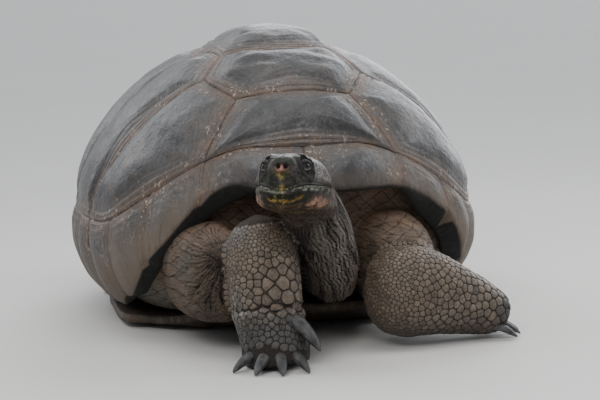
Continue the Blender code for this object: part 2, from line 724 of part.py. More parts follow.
def add_neck_loft(name, material, collection, grow=0.0):
    return add_loft(name, tube_rings(NECK, 16, (0, 0, 1), 2, grow)[0], material, collection)


def add_neck(skin, parts, cutters, neighbours):
    neck = add_neck_loft("neck", skin, parts)
    boolean(neck, add_head_loft("head_cutter", skin, cutters, GROWN))
    for neighbour in neighbours:
        boolean(neck, neighbour)


def add_tail(skin, parts, neighbours):
    rings, centres, tangents = tube_rings(TAIL, 10, (0, 0, 1))
    tip = centres[-1] + tangents[-1] * 0.008
    tail = add_loft("tail", on_floor(rings), skin, parts, None, tip)
    for neighbour in neighbours:
        boolean(tail, neighbour)


# The whole animal.


def build():
    parts, cutters = clear_scene()
    shell = make_material("shell", (0.095, 0.088, 0.080), 0.38)
    rim = make_material("shell_rim", (0.125, 0.105, 0.085), 0.5)
    under = make_material("plastron", (0.115, 0.100, 0.075), 0.55)
    skin = make_material("skin", (0.145, 0.120, 0.100), 0.75)
    horn = make_material("horn", (0.075, 0.068, 0.060), 0.45)
    eye = make_material("eye", (0.020, 0.014, 0.010), 0.08)

    add_vertebrals(shell, parts)
    rim_cutters = {}
    for side in (1, -1):
        add_costals(side, shell, parts)
        word = "left" if side > 0 else "right"
        rim_cutters[side] = add_marginals("rim_cutter_" + word, 0, side * 4, rim, cutters, 9 * GROWN)
        for place, first, last in (("front", 0, 4), ("side", 4, 8), ("rear", 8, 11)):
            add_marginals("marginals_%s_%s" % (place, word), side * first, side * last, rim, parts)
    add_marginals("supracaudal", SIDE_MARGINALS, 2 * TAIL_MARGINAL - SIDE_MARGINALS, rim, parts)
    plastron = add_plastron("plastron", under, parts)
    plastron_cutter = add_plastron("plastron_cutter", under, cutters, GROWN)
    add_trunk(skin, parts)
    trunk_cutter = add_trunk(skin, cutters, "trunk_cutter", GROWN)
    boolean(plastron, trunk_cutter)

    body_cutters = (trunk_cutter, plastron_cutter)
    neck_cutter = add_neck_loft("neck_cutter", skin, cutters, GROWN)
    right = (skin, parts, cutters, (*body_cutters, neck_cutter, rim_cutters[-1]))
    left = (skin, parts, cutters, (*body_cutters, neck_cutter, rim_cutters[1]))
    hind = (skin, parts, cutters, body_cutters)
    right_fore = add_limb("foreleg_right", RIGHT_ARM, RIGHT_FOREARM, 4, (0, 1, 0), True, *right)
    left_fore = add_limb("foreleg_left", LEFT_ARM, LEFT_FOREARM, 5, (0, 0, 1), True, *left)
    left_hind = add_limb("hindleg_left", THIGH, SHANK, 3, (0, 1, 0), False, *hind, 12)
    right_hind = add_limb("hindleg_right", mirrored(THIGH), mirrored(SHANK), 3, (0, 1, 0), False, *hind, 12)
    add_claws(horn, parts, right_fore, left_fore, left_hind, right_hind)
    add_tail(skin, parts, body_cutters)
    add_head(skin, horn, eye, parts, cutters)
    add_neck(skin, parts, cutters, (*body_cutters, right_fore, left_fore))


build()
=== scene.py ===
import bpy
import numpy as np
from math import cos, pi, radians, sin
from mathutils import Matrix, kdtree

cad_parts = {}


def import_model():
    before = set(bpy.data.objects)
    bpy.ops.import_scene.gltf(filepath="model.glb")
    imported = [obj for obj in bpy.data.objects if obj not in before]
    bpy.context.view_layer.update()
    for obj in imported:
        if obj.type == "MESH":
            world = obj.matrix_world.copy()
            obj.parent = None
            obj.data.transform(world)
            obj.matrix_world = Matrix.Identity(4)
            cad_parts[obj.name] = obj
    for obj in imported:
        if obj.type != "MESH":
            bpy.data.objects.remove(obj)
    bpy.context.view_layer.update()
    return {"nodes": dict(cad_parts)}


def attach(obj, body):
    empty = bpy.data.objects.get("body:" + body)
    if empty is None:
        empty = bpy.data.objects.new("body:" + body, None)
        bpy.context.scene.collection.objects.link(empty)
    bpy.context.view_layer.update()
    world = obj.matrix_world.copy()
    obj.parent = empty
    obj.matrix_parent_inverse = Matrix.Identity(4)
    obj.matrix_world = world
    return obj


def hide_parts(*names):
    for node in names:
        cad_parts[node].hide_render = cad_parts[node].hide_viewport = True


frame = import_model()
nodeNames = sorted(frame["nodes"])
print("frame loaded:", len(nodeNames), "nodes")


# Plain numbers and fields

def smooth(t):  # rises softly from 0 to 1: 3t^2 - 2t^3
    t = np.clip(t, 0.0, 1.0)
    return t * t * (3.0 - 2.0 * t)


def past(x, start, width):  # rises softly from 0 at the start to 1 one width later
    return smooth((x - start) / width)


def before(x, end, width):  # falls softly from 1 one width before the end to 0 at it
    return smooth((end - x) / width)


def hill(distance, width):  # bell of height 1: exp(-(distance / width)^2)
    return np.exp(-(distance / width) ** 2)


def unit(v):  # divided by its length
    v = np.asarray(v, float)
    return v / np.maximum(np.linalg.norm(v, axis=-1, keepdims=True), 1e-12)


lattice = {"steps": (374761393, 668265263, 1442695041), "seedStep": 144665, "stir": 1274126177,
           "kept": 0x7FFFFFFF, "read": 0xFFFFF}


def cellValue(cell, seed):  # one repeatable number from 0 to 1 for each lattice corner, by mixing its bits
    mixed = sum(cell[..., k] * lattice["steps"][k] for k in range(3)) + seed * lattice["seedStep"]
    mixed = mixed & lattice["kept"]
    mixed = ((mixed ^ (mixed >> 13)) * lattice["stir"]) & lattice["kept"]
    mixed = mixed ^ (mixed >> 16)
    return (mixed & lattice["read"]) / float(lattice["read"])


def noise(points, size, seed=0):  # lattice values blended by smooth steps, from -1 to 1, one cell per size
    p = np.asarray(points, float) / size
    base = np.floor(p).astype(np.int64)
    part = smooth(p - base)
    total = np.zeros(p.shape[:-1])
    for corner in np.ndindex(2, 2, 2):
        share = np.prod(np.where(np.array(corner) == 1, part, 1.0 - part), axis=-1)
        total += share * cellValue(base + np.array(corner), seed)
    return total * 2.0 - 1.0


def rough(points, size, octaves=3, seed=0):  # noise summed at halving sizes and heights
    return sum(noise(points, size / 2 ** k, seed + 17 * k) / 2 ** k for k in range(octaves))


def cubic(a, b, c, d, t):  # Catmull-Rom: from b to c, leaving each along the chord of its neighbours
    second, third = 2 * a - 5 * b + 4 * c - d, 3 * b - a - 3 * c + d
    return 0.5 * (2 * b + (c - a) * t + second * t * t + third * t ** 3)


def spline(stations, perSpan):  # the cubic through all the stations, with the end ones carried on straight
    s = np.array(stations, float)
    padded = np.vstack([2 * s[0] - s[1], s, 2 * s[-1] - s[-2]])
    t = (np.arange(perSpan) / perSpan)[None, :, None]
    rows = cubic(*(padded[k:len(s) - 1 + k][:, None] for k in range(4)), t)
    return np.vstack([rows.reshape(-1, s.shape[1]), s[-1:]])


def treeOf(points):  # for finding the nearest of these points
    tree = kdtree.KDTree(len(points))
    for k, p in enumerate(points):
        tree.insert(p, k)
    tree.balance()
    return tree


# lowest heights: the skin's tubes, the skin, a scale, a claw and its tip, and the floor
ground = {"tube": 0.0005, "skin": 0.0006, "scale": 0.0007, "claw": 0.0008, "tip": 0.0012, "floor": -0.0004}


# Meshes from whole arrays

def ringFaces(rows, columns):
    # quads between neighbouring closed rings, and fans to a first and a last pole, numbered after the rings
    r, c = np.meshgrid(np.arange(rows - 1), np.arange(columns), indexing="ij")
    after = (c + 1) % columns
    quads = np.stack([r * columns + c, r * columns + after, (r + 1) * columns + after,
                      (r + 1) * columns + c], -1).reshape(-1, 4)
    c = np.arange(columns)
    first, last = rows * columns, (rows - 1) * columns
    start = np.stack([np.full(columns, first), (c + 1) % columns, c], -1)
    end = np.stack([np.full(columns, first + 1), last + c, last + (c + 1) % columns], -1)
    return quads, np.vstack([start, end])


def capped(rings, first=None, last=None):  # all points: the rings, then the poles, or the end rings' middles
    poles = [rings[k].mean(axis=0) if pole is None else pole for k, pole in ((0, first), (-1, last))]
    return np.vstack([rings.reshape(-1, 3), *poles])


def signedVolume(points, quads, triangles):  # sum of the tetrahedra from the origin to every triangle
    t = np.vstack([quads[:, [0, 1, 2]], quads[:, [0, 2, 3]], triangles])
    a, b, c = points[t[:, 0]], points[t[:, 1]], points[t[:, 2]]
    return np.einsum("ij,ij->", a, np.cross(b, c)) / 6.0


def addPiece(name, points, quads, triangles, material, stands=(), fields=None, bakeUv=None):
    # closed mesh with its faces outwards; fields are numbers for each vertex that its material reads
    points = np.asarray(points, float).reshape(-1, 3)
    quads = np.asarray(quads, int).reshape(-1, 4)
    triangles = np.asarray(triangles, int).reshape(-1, 3)
    if signedVolume(points, quads, triangles) < 0:
        quads, triangles = quads[:, ::-1], triangles[:, ::-1]
    mesh = bpy.data.meshes.new(name)
    mesh.from_pydata(points.tolist(), [], quads.tolist() + triangles.tolist())
    mesh.polygons.foreach_set("use_smooth", np.ones(len(mesh.polygons), bool))
    for key, values in (fields or {}).items():
        values = np.asarray(values, np.float32)
        if values.ndim == 2:
            layer = mesh.attributes.new(key, "FLOAT_COLOR", "POINT")
            layer.data.foreach_set("color", np.hstack([values, np.ones((len(values), 1))]).ravel())
        else:
            mesh.attributes.new(key, "FLOAT", "POINT").data.foreach_set("value", values.ravel())
    if bakeUv is not None:
        corner = np.zeros(len(mesh.loops), int)
        mesh.loops.foreach_get("vertex_index", corner)
        mesh.uv_layers.new(name="OFBake").data.foreach_set("uv", bakeUv[corner].astype(np.float32).ravel())
    mesh.update()
    piece = bpy.data.objects.new(name, mesh)
    bpy.context.scene.collection.objects.link(piece)
    mesh.materials.append(material)
    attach(piece, "root")
    if stands:
        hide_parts(*stands)


# Materials

class Wire:  # one output socket: sums, differences and products of wires add Math nodes

    def __init__(self, finish, socket):
        self.finish, self.socket = finish, socket

    def maths(self, operation, *values):
        return self.finish.node("ShaderNodeMath", {"operation": operation}, dict(enumerate(values)))

    def __add__(self, other):
        return self.maths("ADD", self, other)

    def __sub__(self, other):
        return self.maths("SUBTRACT", self, other)

    def __rsub__(self, other):
        return self.maths("SUBTRACT", other, self)

    def __mul__(self, other):
        return self.maths("MULTIPLY", self, other)

    __radd__, __rmul__ = __add__, __mul__

    def limited(self):
        return self.maths("MINIMUM", self.maths("MAXIMUM", self, 0.0), 1.0)

    def ripple(self, length):  # 0 to 1 and back once in every length
        return self.maths("SINE", self * (2 * pi / length)) * 0.5 + 0.5

    def span(self, low, high):  # 0 at low, 1 at high, soft between
        return self.finish.node("ShaderNodeMapRange", {"interpolation_type": "SMOOTHSTEP"},
                                {0: self, 1: low, 2: high, 3: 0.0, 4: 1.0})


class Finish:  # a Principled material under construction

    def __init__(self, name):
        self.material = bpy.data.materials.new(name)
        self.material.use_nodes = True
        self.tree = self.material.node_tree
        self.shader = self.tree.nodes["Principled BSDF"]
        self.place = self.node("ShaderNodeTexCoord", {}, {}, "Object")

    def node(self, kind, settings, inputs, output=0):
        made = self.tree.nodes.new(kind)
        for key, value in settings.items():
            setattr(made, key, value)
        for key, value in inputs.items():
            self.plug(made.inputs[key], value)
        return Wire(self, made.outputs[output])

    def plug(self, socket, value):
        if isinstance(value, Wire):
            self.tree.links.new(value.socket, socket)
        elif socket.type == "RGBA":
            socket.default_value = (*value, 1.0)
        else:
            socket.default_value = value

    def field(self, name, output="Fac"):
        return self.node("ShaderNodeAttribute", {"attribute_name": name}, {}, output)

    def mapped(self, stretch, twist=(0, 0, 0)):
        return self.node("ShaderNodeMapping", {}, {"Vector": self.place, "Scale": stretch, "Rotation": twist})

    def grain(self, size, detail=3.0, stretch=(1, 1, 1), twist=(0, 0, 0), warp=0.0):
        place = self.mapped(stretch, twist)
        inputs = {"Vector": place, "Scale": 1.0 / size, "Detail": detail, "Distortion": warp}
        return self.node("ShaderNodeTexNoise", {}, inputs, "Fac")

    def cells(self, size, wobble, stretch=(1, 1, 1)):  # distance from the wobbling borders of cells
        drift = {"Vector": self.place, "Scale": 0.6 / size, "Detail": 2.0}
        drift = self.node("ShaderNodeTexNoise", {}, drift, "Color")
        place = self.node("ShaderNodeVectorMath", {"operation": "ADD"},
                          {0: self.mapped(stretch), 1: self.times(drift, wobble * size)})
        return self.node("ShaderNodeTexVoronoi", {"feature": "DISTANCE_TO_EDGE"},
                         {"Vector": place, "Scale": 1.0 / size}, "Distance")

    def veins(self, size, thin, detail, stretch, twist):  # thin lines where a noise passes its middle
        grain = self.grain(size, detail, stretch, twist, 0.3)
        return 1.0 - grain.maths("ABSOLUTE", grain - 0.5).span(0.0, thin)

    def strokes(self, spacing, direction, drift, thin):
        # lines across a direction, so many metres apart, wandering by drift spacings and broken off in places
        along = self.node("ShaderNodeVectorMath", {"operation": "DOT_PRODUCT"},
                          {0: self.place, 1: direction}, "Value")
        wandering = (self.grain(spacing * 2.4, 2.0, twist=direction) - 0.5) * (drift * pi)
        winding = along * (pi / spacing) + wandering
        line = 1.0 - winding.maths("ABSOLUTE", winding.maths("SINE", winding)).span(0.0, thin)
        return line * self.grain(spacing * 1.9, 1.0, twist=direction).span(0.38, 0.47)

    def blend(self, share, first, second):
        return self.node("ShaderNodeMix", {"data_type": "RGBA"}, {0: share, 6: first, 7: second}, 2)

    def layers(self, base, *coats):  # each coat is its share and its colour
        for share, colour in coats:
            base = self.blend(share, base, colour)
        return base

    def times(self, colour, factor):  # a colour made so many times brighter
        return self.node("ShaderNodeVectorMath", {"operation": "SCALE"}, {0: colour, "Scale": factor})

    def relief(self, heights):  # heights: (wire, metres of its full range) pairs, chained bumps
        normal = None
        for height, depth in heights:
            inputs = {"Height": height, "Strength": 1.0, "Distance": depth}
            if normal is not None:
                inputs["Normal"] = normal
            normal = self.node("ShaderNodeBump", {}, inputs)
        return normal

    def close(self, colour, roughness, normal, **constants):
        self.plug(self.shader.inputs["Base Color"], colour)
        self.plug(self.shader.inputs["Roughness"], roughness)
        self.plug(self.shader.inputs["Normal"], normal)
        for key, value in constants.items():
            self.shader.inputs[key.replace("_", " ")].default_value = value
        return self.material


# Finish of the shell's plates

hornTone = {
    "slate": (0.026, 0.027, 0.030),
    "worn": (0.088, 0.087, 0.090),
    "brown": (0.088, 0.064, 0.050),
    "rust": (0.150, 0.088, 0.058),
    "pale": (0.400, 0.330, 0.260),
    "dust": (0.150, 0.118, 0.088),
    "flank": (0.120, 0.088, 0.062),
    # painted shade: near-black on the hidden faces and under the edge's lip
    "underShadow": (0.0055, 0.0055, 0.0052),
}


def shellFinish():
    # edge: metres from the plate's own seam; low: 0 at the belt, 1 at the rim; under: 1 on the hidden faces
    # and under the edge's lip, which take a near-black painted shade
    f = Finish("shellHorn")
    edge, low, under = f.field("edge"), f.field("low"), f.field("under")
    cloud, patchy, speck = f.grain(0.11, 4.0, warp=0.4), f.grain(0.05), f.grain(0.006)
    streak = f.grain(0.020, 6.0, (1, 1, 0.45), warp=0.6)
    crumple = f.veins(0.022, 0.045, 4.0, (1, 1, 0.6), (0.3, 0.5, 0.0))
    hair = f.grain(0.0050, 2.0, (0.16, 1, 1), (0.0, 0.5, 0.3)).span(0.57, 0.70)
    wavy = edge + (cloud - 0.5) * 0.018 + (f.grain(0.02) - 0.5) * 0.006
    rings, broad = wavy.ripple(0.0046), wavy.ripple(0.0150)
    border, beside = 1.0 - wavy.span(0.004, 0.050), 1.0 - wavy.span(0.002, 0.024)
    seam = 1.0 - (edge + (f.grain(0.012, 2.0) - 0.5) * 0.006).span(0.0004, 0.0042)
    torn = f.grain(0.0060, 5.0, (1, 1, 0.6), warp=0.5)
    flake = torn.span(0.58, 0.64) * f.grain(0.04, 2.0).span(0.46, 0.60) * (border * 0.9 + 0.12)
    slate, worn, brown, rust, pale, dust, flank, underShadow = hornTone.values()  # in the table's order
    base = f.layers(
        slate, (cloud.span(0.40, 0.68), worn), (streak.span(0.50, 0.66) * 0.50, worn),
        (f.grain(0.055, 5.0, warp=0.8).span(0.50, 0.66) * 0.42, brown),
        (crumple * patchy.span(0.42, 0.60) * 0.50, slate), (hair * patchy.span(0.62, 0.40) * 0.30, dust),
        (border * (0.60 + broad * 0.30) * patchy.span(0.24, 0.50), brown),
        (border * rings * 0.50 * f.grain(0.035).span(0.42, 0.58), dust),
        (beside * patchy.span(0.38, 0.56) * 0.42, rust), (seam * f.grain(0.04).span(0.40, 0.62) * 0.35, rust),
        (seam * f.grain(0.03, 2.0).span(0.50, 0.60) * 0.45, slate),
        (f.grain(0.0065, 5.0, (1, 1, 0.8)).span(0.50, 0.60) * 0.38, slate),
        (f.grain(0.0040).span(0.58, 0.66) * 0.30, dust), (flake * 0.85, pale))
    # painted shade: the middle plates are darkened where they face ahead; the lower edges are dusty and
    # scratched downwards, and the hidden faces are near-black painted shade
    high, aside, back = (f.node("ShaderNodeSeparateXYZ", {}, {"Vector": f.place}, axis) for axis in "ZXY")
    middle = (1.0 - (aside * aside).span(0.020, 0.060)) * (1.0 - (back + 0.26).span(0.0, 0.20))
    dusty = (low + (f.grain(0.07) - 0.5) * 0.9).span(0.10, 0.75) * (1.0 - high.span(0.22, 0.36))
    scratch = f.grain(0.0045, 2.0, (1, 1, 0.10)).span(0.56, 0.72)
    groove = f.grain(0.0050, 2.0, (1, 1, 0.12), warp=0.1).span(0.60, 0.72)
    base = f.layers(
        base, (middle * high.span(0.34, 0.42) * edge.span(0.02, 0.06) * 0.95, f.times(base, 0.50)),
        (dusty * 0.85, flank), (scratch * 0.45 * dusty, dust), (groove * 0.5 * dusty, slate),
        (under, underShadow))
    gloss = 0.45 + (speck - 0.5) * 0.26 + border * 0.16 + dusty * 0.20 + streak.span(0.5, 0.9) * 0.1
    normal = f.relief([
        (broad * border + rings * border * 0.35, 0.0013),
        (f.grain(0.016, 5.0, (1, 1, 0.7)), 0.0024),
        (1.0 - crumple * patchy, 0.0007),
        (scratch * dusty, 0.0005),
        (speck + flake, 0.0007),
        (f.grain(0.0022, 2.0), 0.00022)])
    return f.close(base, (gloss + under * 0.3).limited(), normal, Specular_IOR_Level=0.55,
                   Coat_Weight=0.06, Coat_Roughness=0.30)


# The carapace: a dome over a rounded plan, the same numbers as in its solids

carapace = {
    "halfWidth": 0.418, "halfLength": 0.540, "centreY": 0.020, "top": 0.588, "belt": 0.190,
    "planPower": 2.3, "roundPower": 1.20, "longFullness": 0.30, "lowerDepth": 0.25, "tuck": 0.85,
    "apexShift": -0.03, "rimFront": 0.315, "rimSide": 0.050, "rimRear": 0.120, "firstMarginal": radians(24),
    "plateThickness": 0.011, "plateRise": 0.020, "beltFront": 0.388, "beltDrop": 0.158, "beltRise": 0.045,
    "rimThickness": 0.023, "rimScallop": 0.010, "rimSwell": 0.007,
}


def planRadius(angle):  # superellipse radius at an angle from the front
    across = np.abs(np.sin(angle) / carapace["halfWidth"]) ** carapace["planPower"]
    along = np.abs(np.cos(angle) / carapace["halfLength"]) ** carapace["planPower"]
    return (across + along) ** (-1.0 / carapace["planPower"])


def closing(angle):  # power of the cosine: smaller, so fuller, along the middle
    return carapace["roundPower"] - carapace["longFullness"] * np.cos(angle) ** 2


def dome(angle, lift):
    # plan radius times cos(lift)^power, height by sin(lift)^power above the belt, a shallow tuck below it
    c, s, above = np.abs(np.cos(lift)), np.abs(np.sin(lift)), lift >= 0
    reach = np.where(above, c ** closing(angle), 1.0 - carapace["tuck"] * (1.0 - c))
    high = carapace["belt"] + (carapace["top"] - carapace["belt"]) * s ** carapace["roundPower"]
    height = np.where(above, high, carapace["belt"] - carapace["lowerDepth"] * s)
    radius = planRadius(angle) * reach
    y = carapace["centreY"] - radius * np.cos(angle) + carapace["apexShift"] * np.where(above, s * s, 0.0)
    return np.stack([radius * np.sin(angle), y, height], -1)


def mapPoint(q):  # flat map: apex at 0, belt at distance 1, rim beyond
    away = np.maximum(np.hypot(q[..., 0], q[..., 1]), 1e-9)
    return dome(np.arctan2(q[..., 0], -q[..., 1]), (1.0 - away) * pi / 2)


def mapNormal(q):  # cross product of the two central differences
    step = 0.004
    across = mapPoint(q + [step, 0]) - mapPoint(q - [step, 0])
    along = mapPoint(q + [0, step]) - mapPoint(q - [0, step])
    return unit(np.cross(across, along))


def toMap(angle, lift):  # distance from the apex falls in proportion to the lift
    away = 1.0 - np.asarray(lift, float) * 2 / pi
    return np.stack([away * np.sin(angle), -away * np.cos(angle)], -1)


def liftAt(height):  # the dome's two height formulas, turned round
    belt = carapace["belt"]
    upper = np.clip((height - belt) / (carapace["top"] - belt), 0, 1) ** (1 / carapace["roundPower"])
    lower = np.clip((belt - height) / carapace["lowerDepth"], 0, 1)
    return np.where(height >= belt, np.arcsin(upper), -np.arcsin(lower))


def locate(x, y):  # map place over a point of the plan, by repeated correction of the apex shift
    shift = 0.0
    for _ in range(30):
        awayY = y - carapace["centreY"] - shift
        angle = np.arctan2(x, -awayY)
        c = np.clip(np.hypot(x, awayY) / planRadius(angle), 0, 1) ** (1 / closing(angle))
        shift = carapace["apexShift"] * (1 - c * c)
    return toMap(angle, np.arccos(c))


def rimHeight(angle):  # high over the neck, low at the flanks, raised at the tail
    off, right = np.degrees(np.abs(angle)), np.asarray(angle) < 0
    start, end = np.where(right, 12.0, 18.0), np.where(right, 54.0, 64.0)
    ahead, aside, behind = carapace["rimFront"], carapace["rimSide"], carapace["rimRear"]
    return ahead + (aside - ahead) * past(off, start, end - start) + (behind - aside) * past(off, 125, 35)


def rimFlare(angle):  # where the lower face of the edge opens towards the front, earlier on the right; there the painted shade covers its whole lip
    off, right = np.degrees(np.abs(angle)), np.asarray(angle) < 0
    start, full = np.where(right, 6.0, 22.0), np.where(right, 20.0, 33.0)
    return past(off, start, full - start) * before(off, 66.0, 14.0)


def beltHeight(angle):  # seam above the edge plates: falls from the neck, rises at the tail
    off = np.degrees(np.abs(angle))
    off = np.minimum(off, 360.0 - off)
    fall, climb = carapace["beltDrop"] * past(off, 12, 48), carapace["beltRise"] * past(off, 135, 35)
    return carapace["beltFront"] - fall + climb


def marginalAngle(count):  # the first edge plate is wide, the other eleven are even
    away, first = np.abs(np.asarray(count, float)), carapace["firstMarginal"]
    return np.sign(count) * np.where(away < 1.0, first * away, first + (pi - first) / 11.0 * (away - 1.0))


plates = {
    "seams": ((0.113, -0.338), (0.120, -0.165), (0.115, 0.130), (0.100, 0.345)),
    "tips": ((0.158, -0.238), (0.155, -0.010), (0.140, 0.250)),
    "costalEnds": (1, 4, 6, 8, 10),
    "rings": 44, "seamSpacing": 0.011, "wander": 0.006, "lumps": 0.0030, "lumpSize": 0.075,
}


def mapLine(start, end):  # straight in the map, sampled finely, without its last point
    length = np.linalg.norm(mapPoint(np.asarray(end)) - mapPoint(np.asarray(start)))
    steps = max(3, int(length / plates["seamSpacing"]))
    share = np.arange(steps)[:, None] / steps
    return np.asarray(start) * (1 - share) + np.asarray(end) * share


def onBelt(count):  # map place on the belt, so many edge plates from the front
    angle = marginalAngle(count)
    return toMap(angle, liftAt(beltHeight(angle)))


def beltLine(first, last):  # twelve places on each edge plate, without the last point
    steps = int(abs(last - first) * 12)
    return onBelt(first + (last - first) * np.arange(steps) / steps)


def plateOutlines():  # closed outlines in the map of the five back plates and the eight side plates
    corners = {}
    for side in (1, -1):
        flip = np.array([side, 1.0])
        corners[side] = ([locate(x, y) * flip for x, y in plates["seams"]],
                         [locate(x, y) * flip for x, y in plates["tips"]])
    (leftSeams, leftTips), (rightSeams, rightTips) = corners[1], corners[-1]
    first, last = plates["costalEnds"][0], plates["costalEnds"][-1]
    outlines = {"vertebral_1": [beltLine(-first, first), mapLine(onBelt(first), leftSeams[0]),
                                mapLine(leftSeams[0], rightSeams[0]), mapLine(rightSeams[0], onBelt(-first))]}
    for k in range(3):
        way = (leftSeams[k], leftTips[k], leftSeams[k + 1], rightSeams[k + 1], rightTips[k], rightSeams[k])
        outlines["vertebral_%d" % (k + 2)] = [mapLine(a, b) for a, b in zip(way, way[1:] + way[:1])]
    outlines["vertebral_5"] = [beltLine(last, 24 - last), mapLine(onBelt(-last), rightSeams[3]),
                               mapLine(rightSeams[3], leftSeams[3]), mapLine(leftSeams[3], onBelt(last))]
    for side, word in ((1, "left"), (-1, "right")):
        seams, tips = corners[side]
        ends = [side * count for count in plates["costalEnds"]]
        for k in range(4):
            way = [onBelt(ends[k + 1])] + ([] if k == 3 else [tips[k]]) + [seams[k]]
            way += ([] if k == 0 else [tips[k - 1]]) + [onBelt(ends[k])]
            outlines["costal_%s_%d" % (word, k + 1)] = (
                [beltLine(ends[k], ends[k + 1])] + [mapLine(a, b) for a, b in zip(way, way[1:])])
    return {name: np.vstack(lines) for name, lines in outlines.items()}


def wander(q):  # seams drift a little by a noise that both neighbours share, but not at the belt
    flat = np.concatenate([q, np.zeros(q.shape[:-1] + (1,))], -1)
    drift = np.stack([rough(flat, 0.16, 2, 3), rough(flat, 0.16, 2, 9)], -1)
    beltAway = 1.0 - liftAt(beltHeight(np.arctan2(q[..., 0], -q[..., 1]))) * 2 / pi
    return q + drift * plates["wander"] * before(np.hypot(q[..., 0], q[..., 1]), beltAway, 0.08)[..., None]


def lumps(place):  # unevenness of a plate in metres
    return plates["lumps"] * rough(place, plates["lumpSize"], 3, 31)


def addPlate(name, outline, material):
    # rays from the plate's middle to its outline: a boss in the middle, a worn flat border, growth ridges
    outline = wander(outline)
    middle = outline.mean(axis=0)
    reach = np.linalg.norm(mapPoint(outline) - mapPoint(middle), axis=1)
    last = [0.955, 0.975, 0.987, 0.995, 0.999, 1.0]
    share = np.concatenate([np.linspace(0.03, 0.93, plates["rings"] - len(last)), last])
    q = middle + (outline - middle)[None] * share[:, None, None]
    surface, normal = mapPoint(q), mapNormal(q)
    edge = (1.0 - share)[:, None] * reach[None]
    boss = carapace["plateRise"] * (1.0 - share ** 2.4)[:, None]
    bandLift = -0.0035 * hill(edge - 0.030, 0.016) - 0.0015 * hill(edge, 0.0035)
    drift = edge + 0.006 * rough(surface, 0.12, 2, 5)
    ridges = 0.0009 * np.sin(drift * 2 * pi / 0.013) * smooth(1.0 - edge / 0.085) * smooth(edge / 0.006)
    ridges = ridges * (1.0 + noise(surface, 0.09, 21))
    if name in ("vertebral_2", "vertebral_3"):  # strong ridges across the top, parallel to the front seam
        ahead = surface[..., 1] + 0.026 * rough(surface, 0.12, 3, 8)
        uneven = smooth(0.55 + noise(surface, 0.10, 23))
        inside = smooth(edge / 0.02) * smooth(edge / 0.12)
        ridges = ridges + 0.0024 * np.sin(ahead * 2 * pi / 0.038) * inside * uneven
    top = surface + normal * (boss + bandLift + ridges + lumps(surface) * smooth(edge / 0.03))[..., None]
    under = surface[[-1, -6, 18]] - normal[[-1, -6, 18]] * carapace["plateThickness"]
    rings = np.concatenate([top, under])
    peak, upwards = mapPoint(middle), mapNormal(middle)
    poleTop = peak + upwards * (carapace["plateRise"] + lumps(peak))
    points = capped(rings, poleTop, peak - upwards * carapace["plateThickness"])
    quads, fans = ringFaces(len(rings), len(outline))
    hidden = np.concatenate([np.zeros(top.shape[:2]), np.ones(under.shape[:2])])
    edges = np.concatenate([edge, 0 * edge[:3]])
    fields = {"edge": np.append(edges.ravel(), [reach.mean(), 0.0]), "low": np.zeros(len(points)),
              "under": np.append(hidden.ravel(), [0.0, 1.0])}
    addPiece("plate_" + name, points, quads, fans, material, (name,), fields)


edgePlates = {"stepsEach": 22, "firstSwell": 0.015, "seamDepth": 0.0022, "flareDepth": 0.021,
              "raisedRight": 0.030, "raisedLeft": 0.022, "droppedLeft": 0.008,
              "nicks": ((2, 0.80), (1, 0.20), (3, 0.30), (-1, 0.20), (-2, 0.25), (-3, 0.15))}


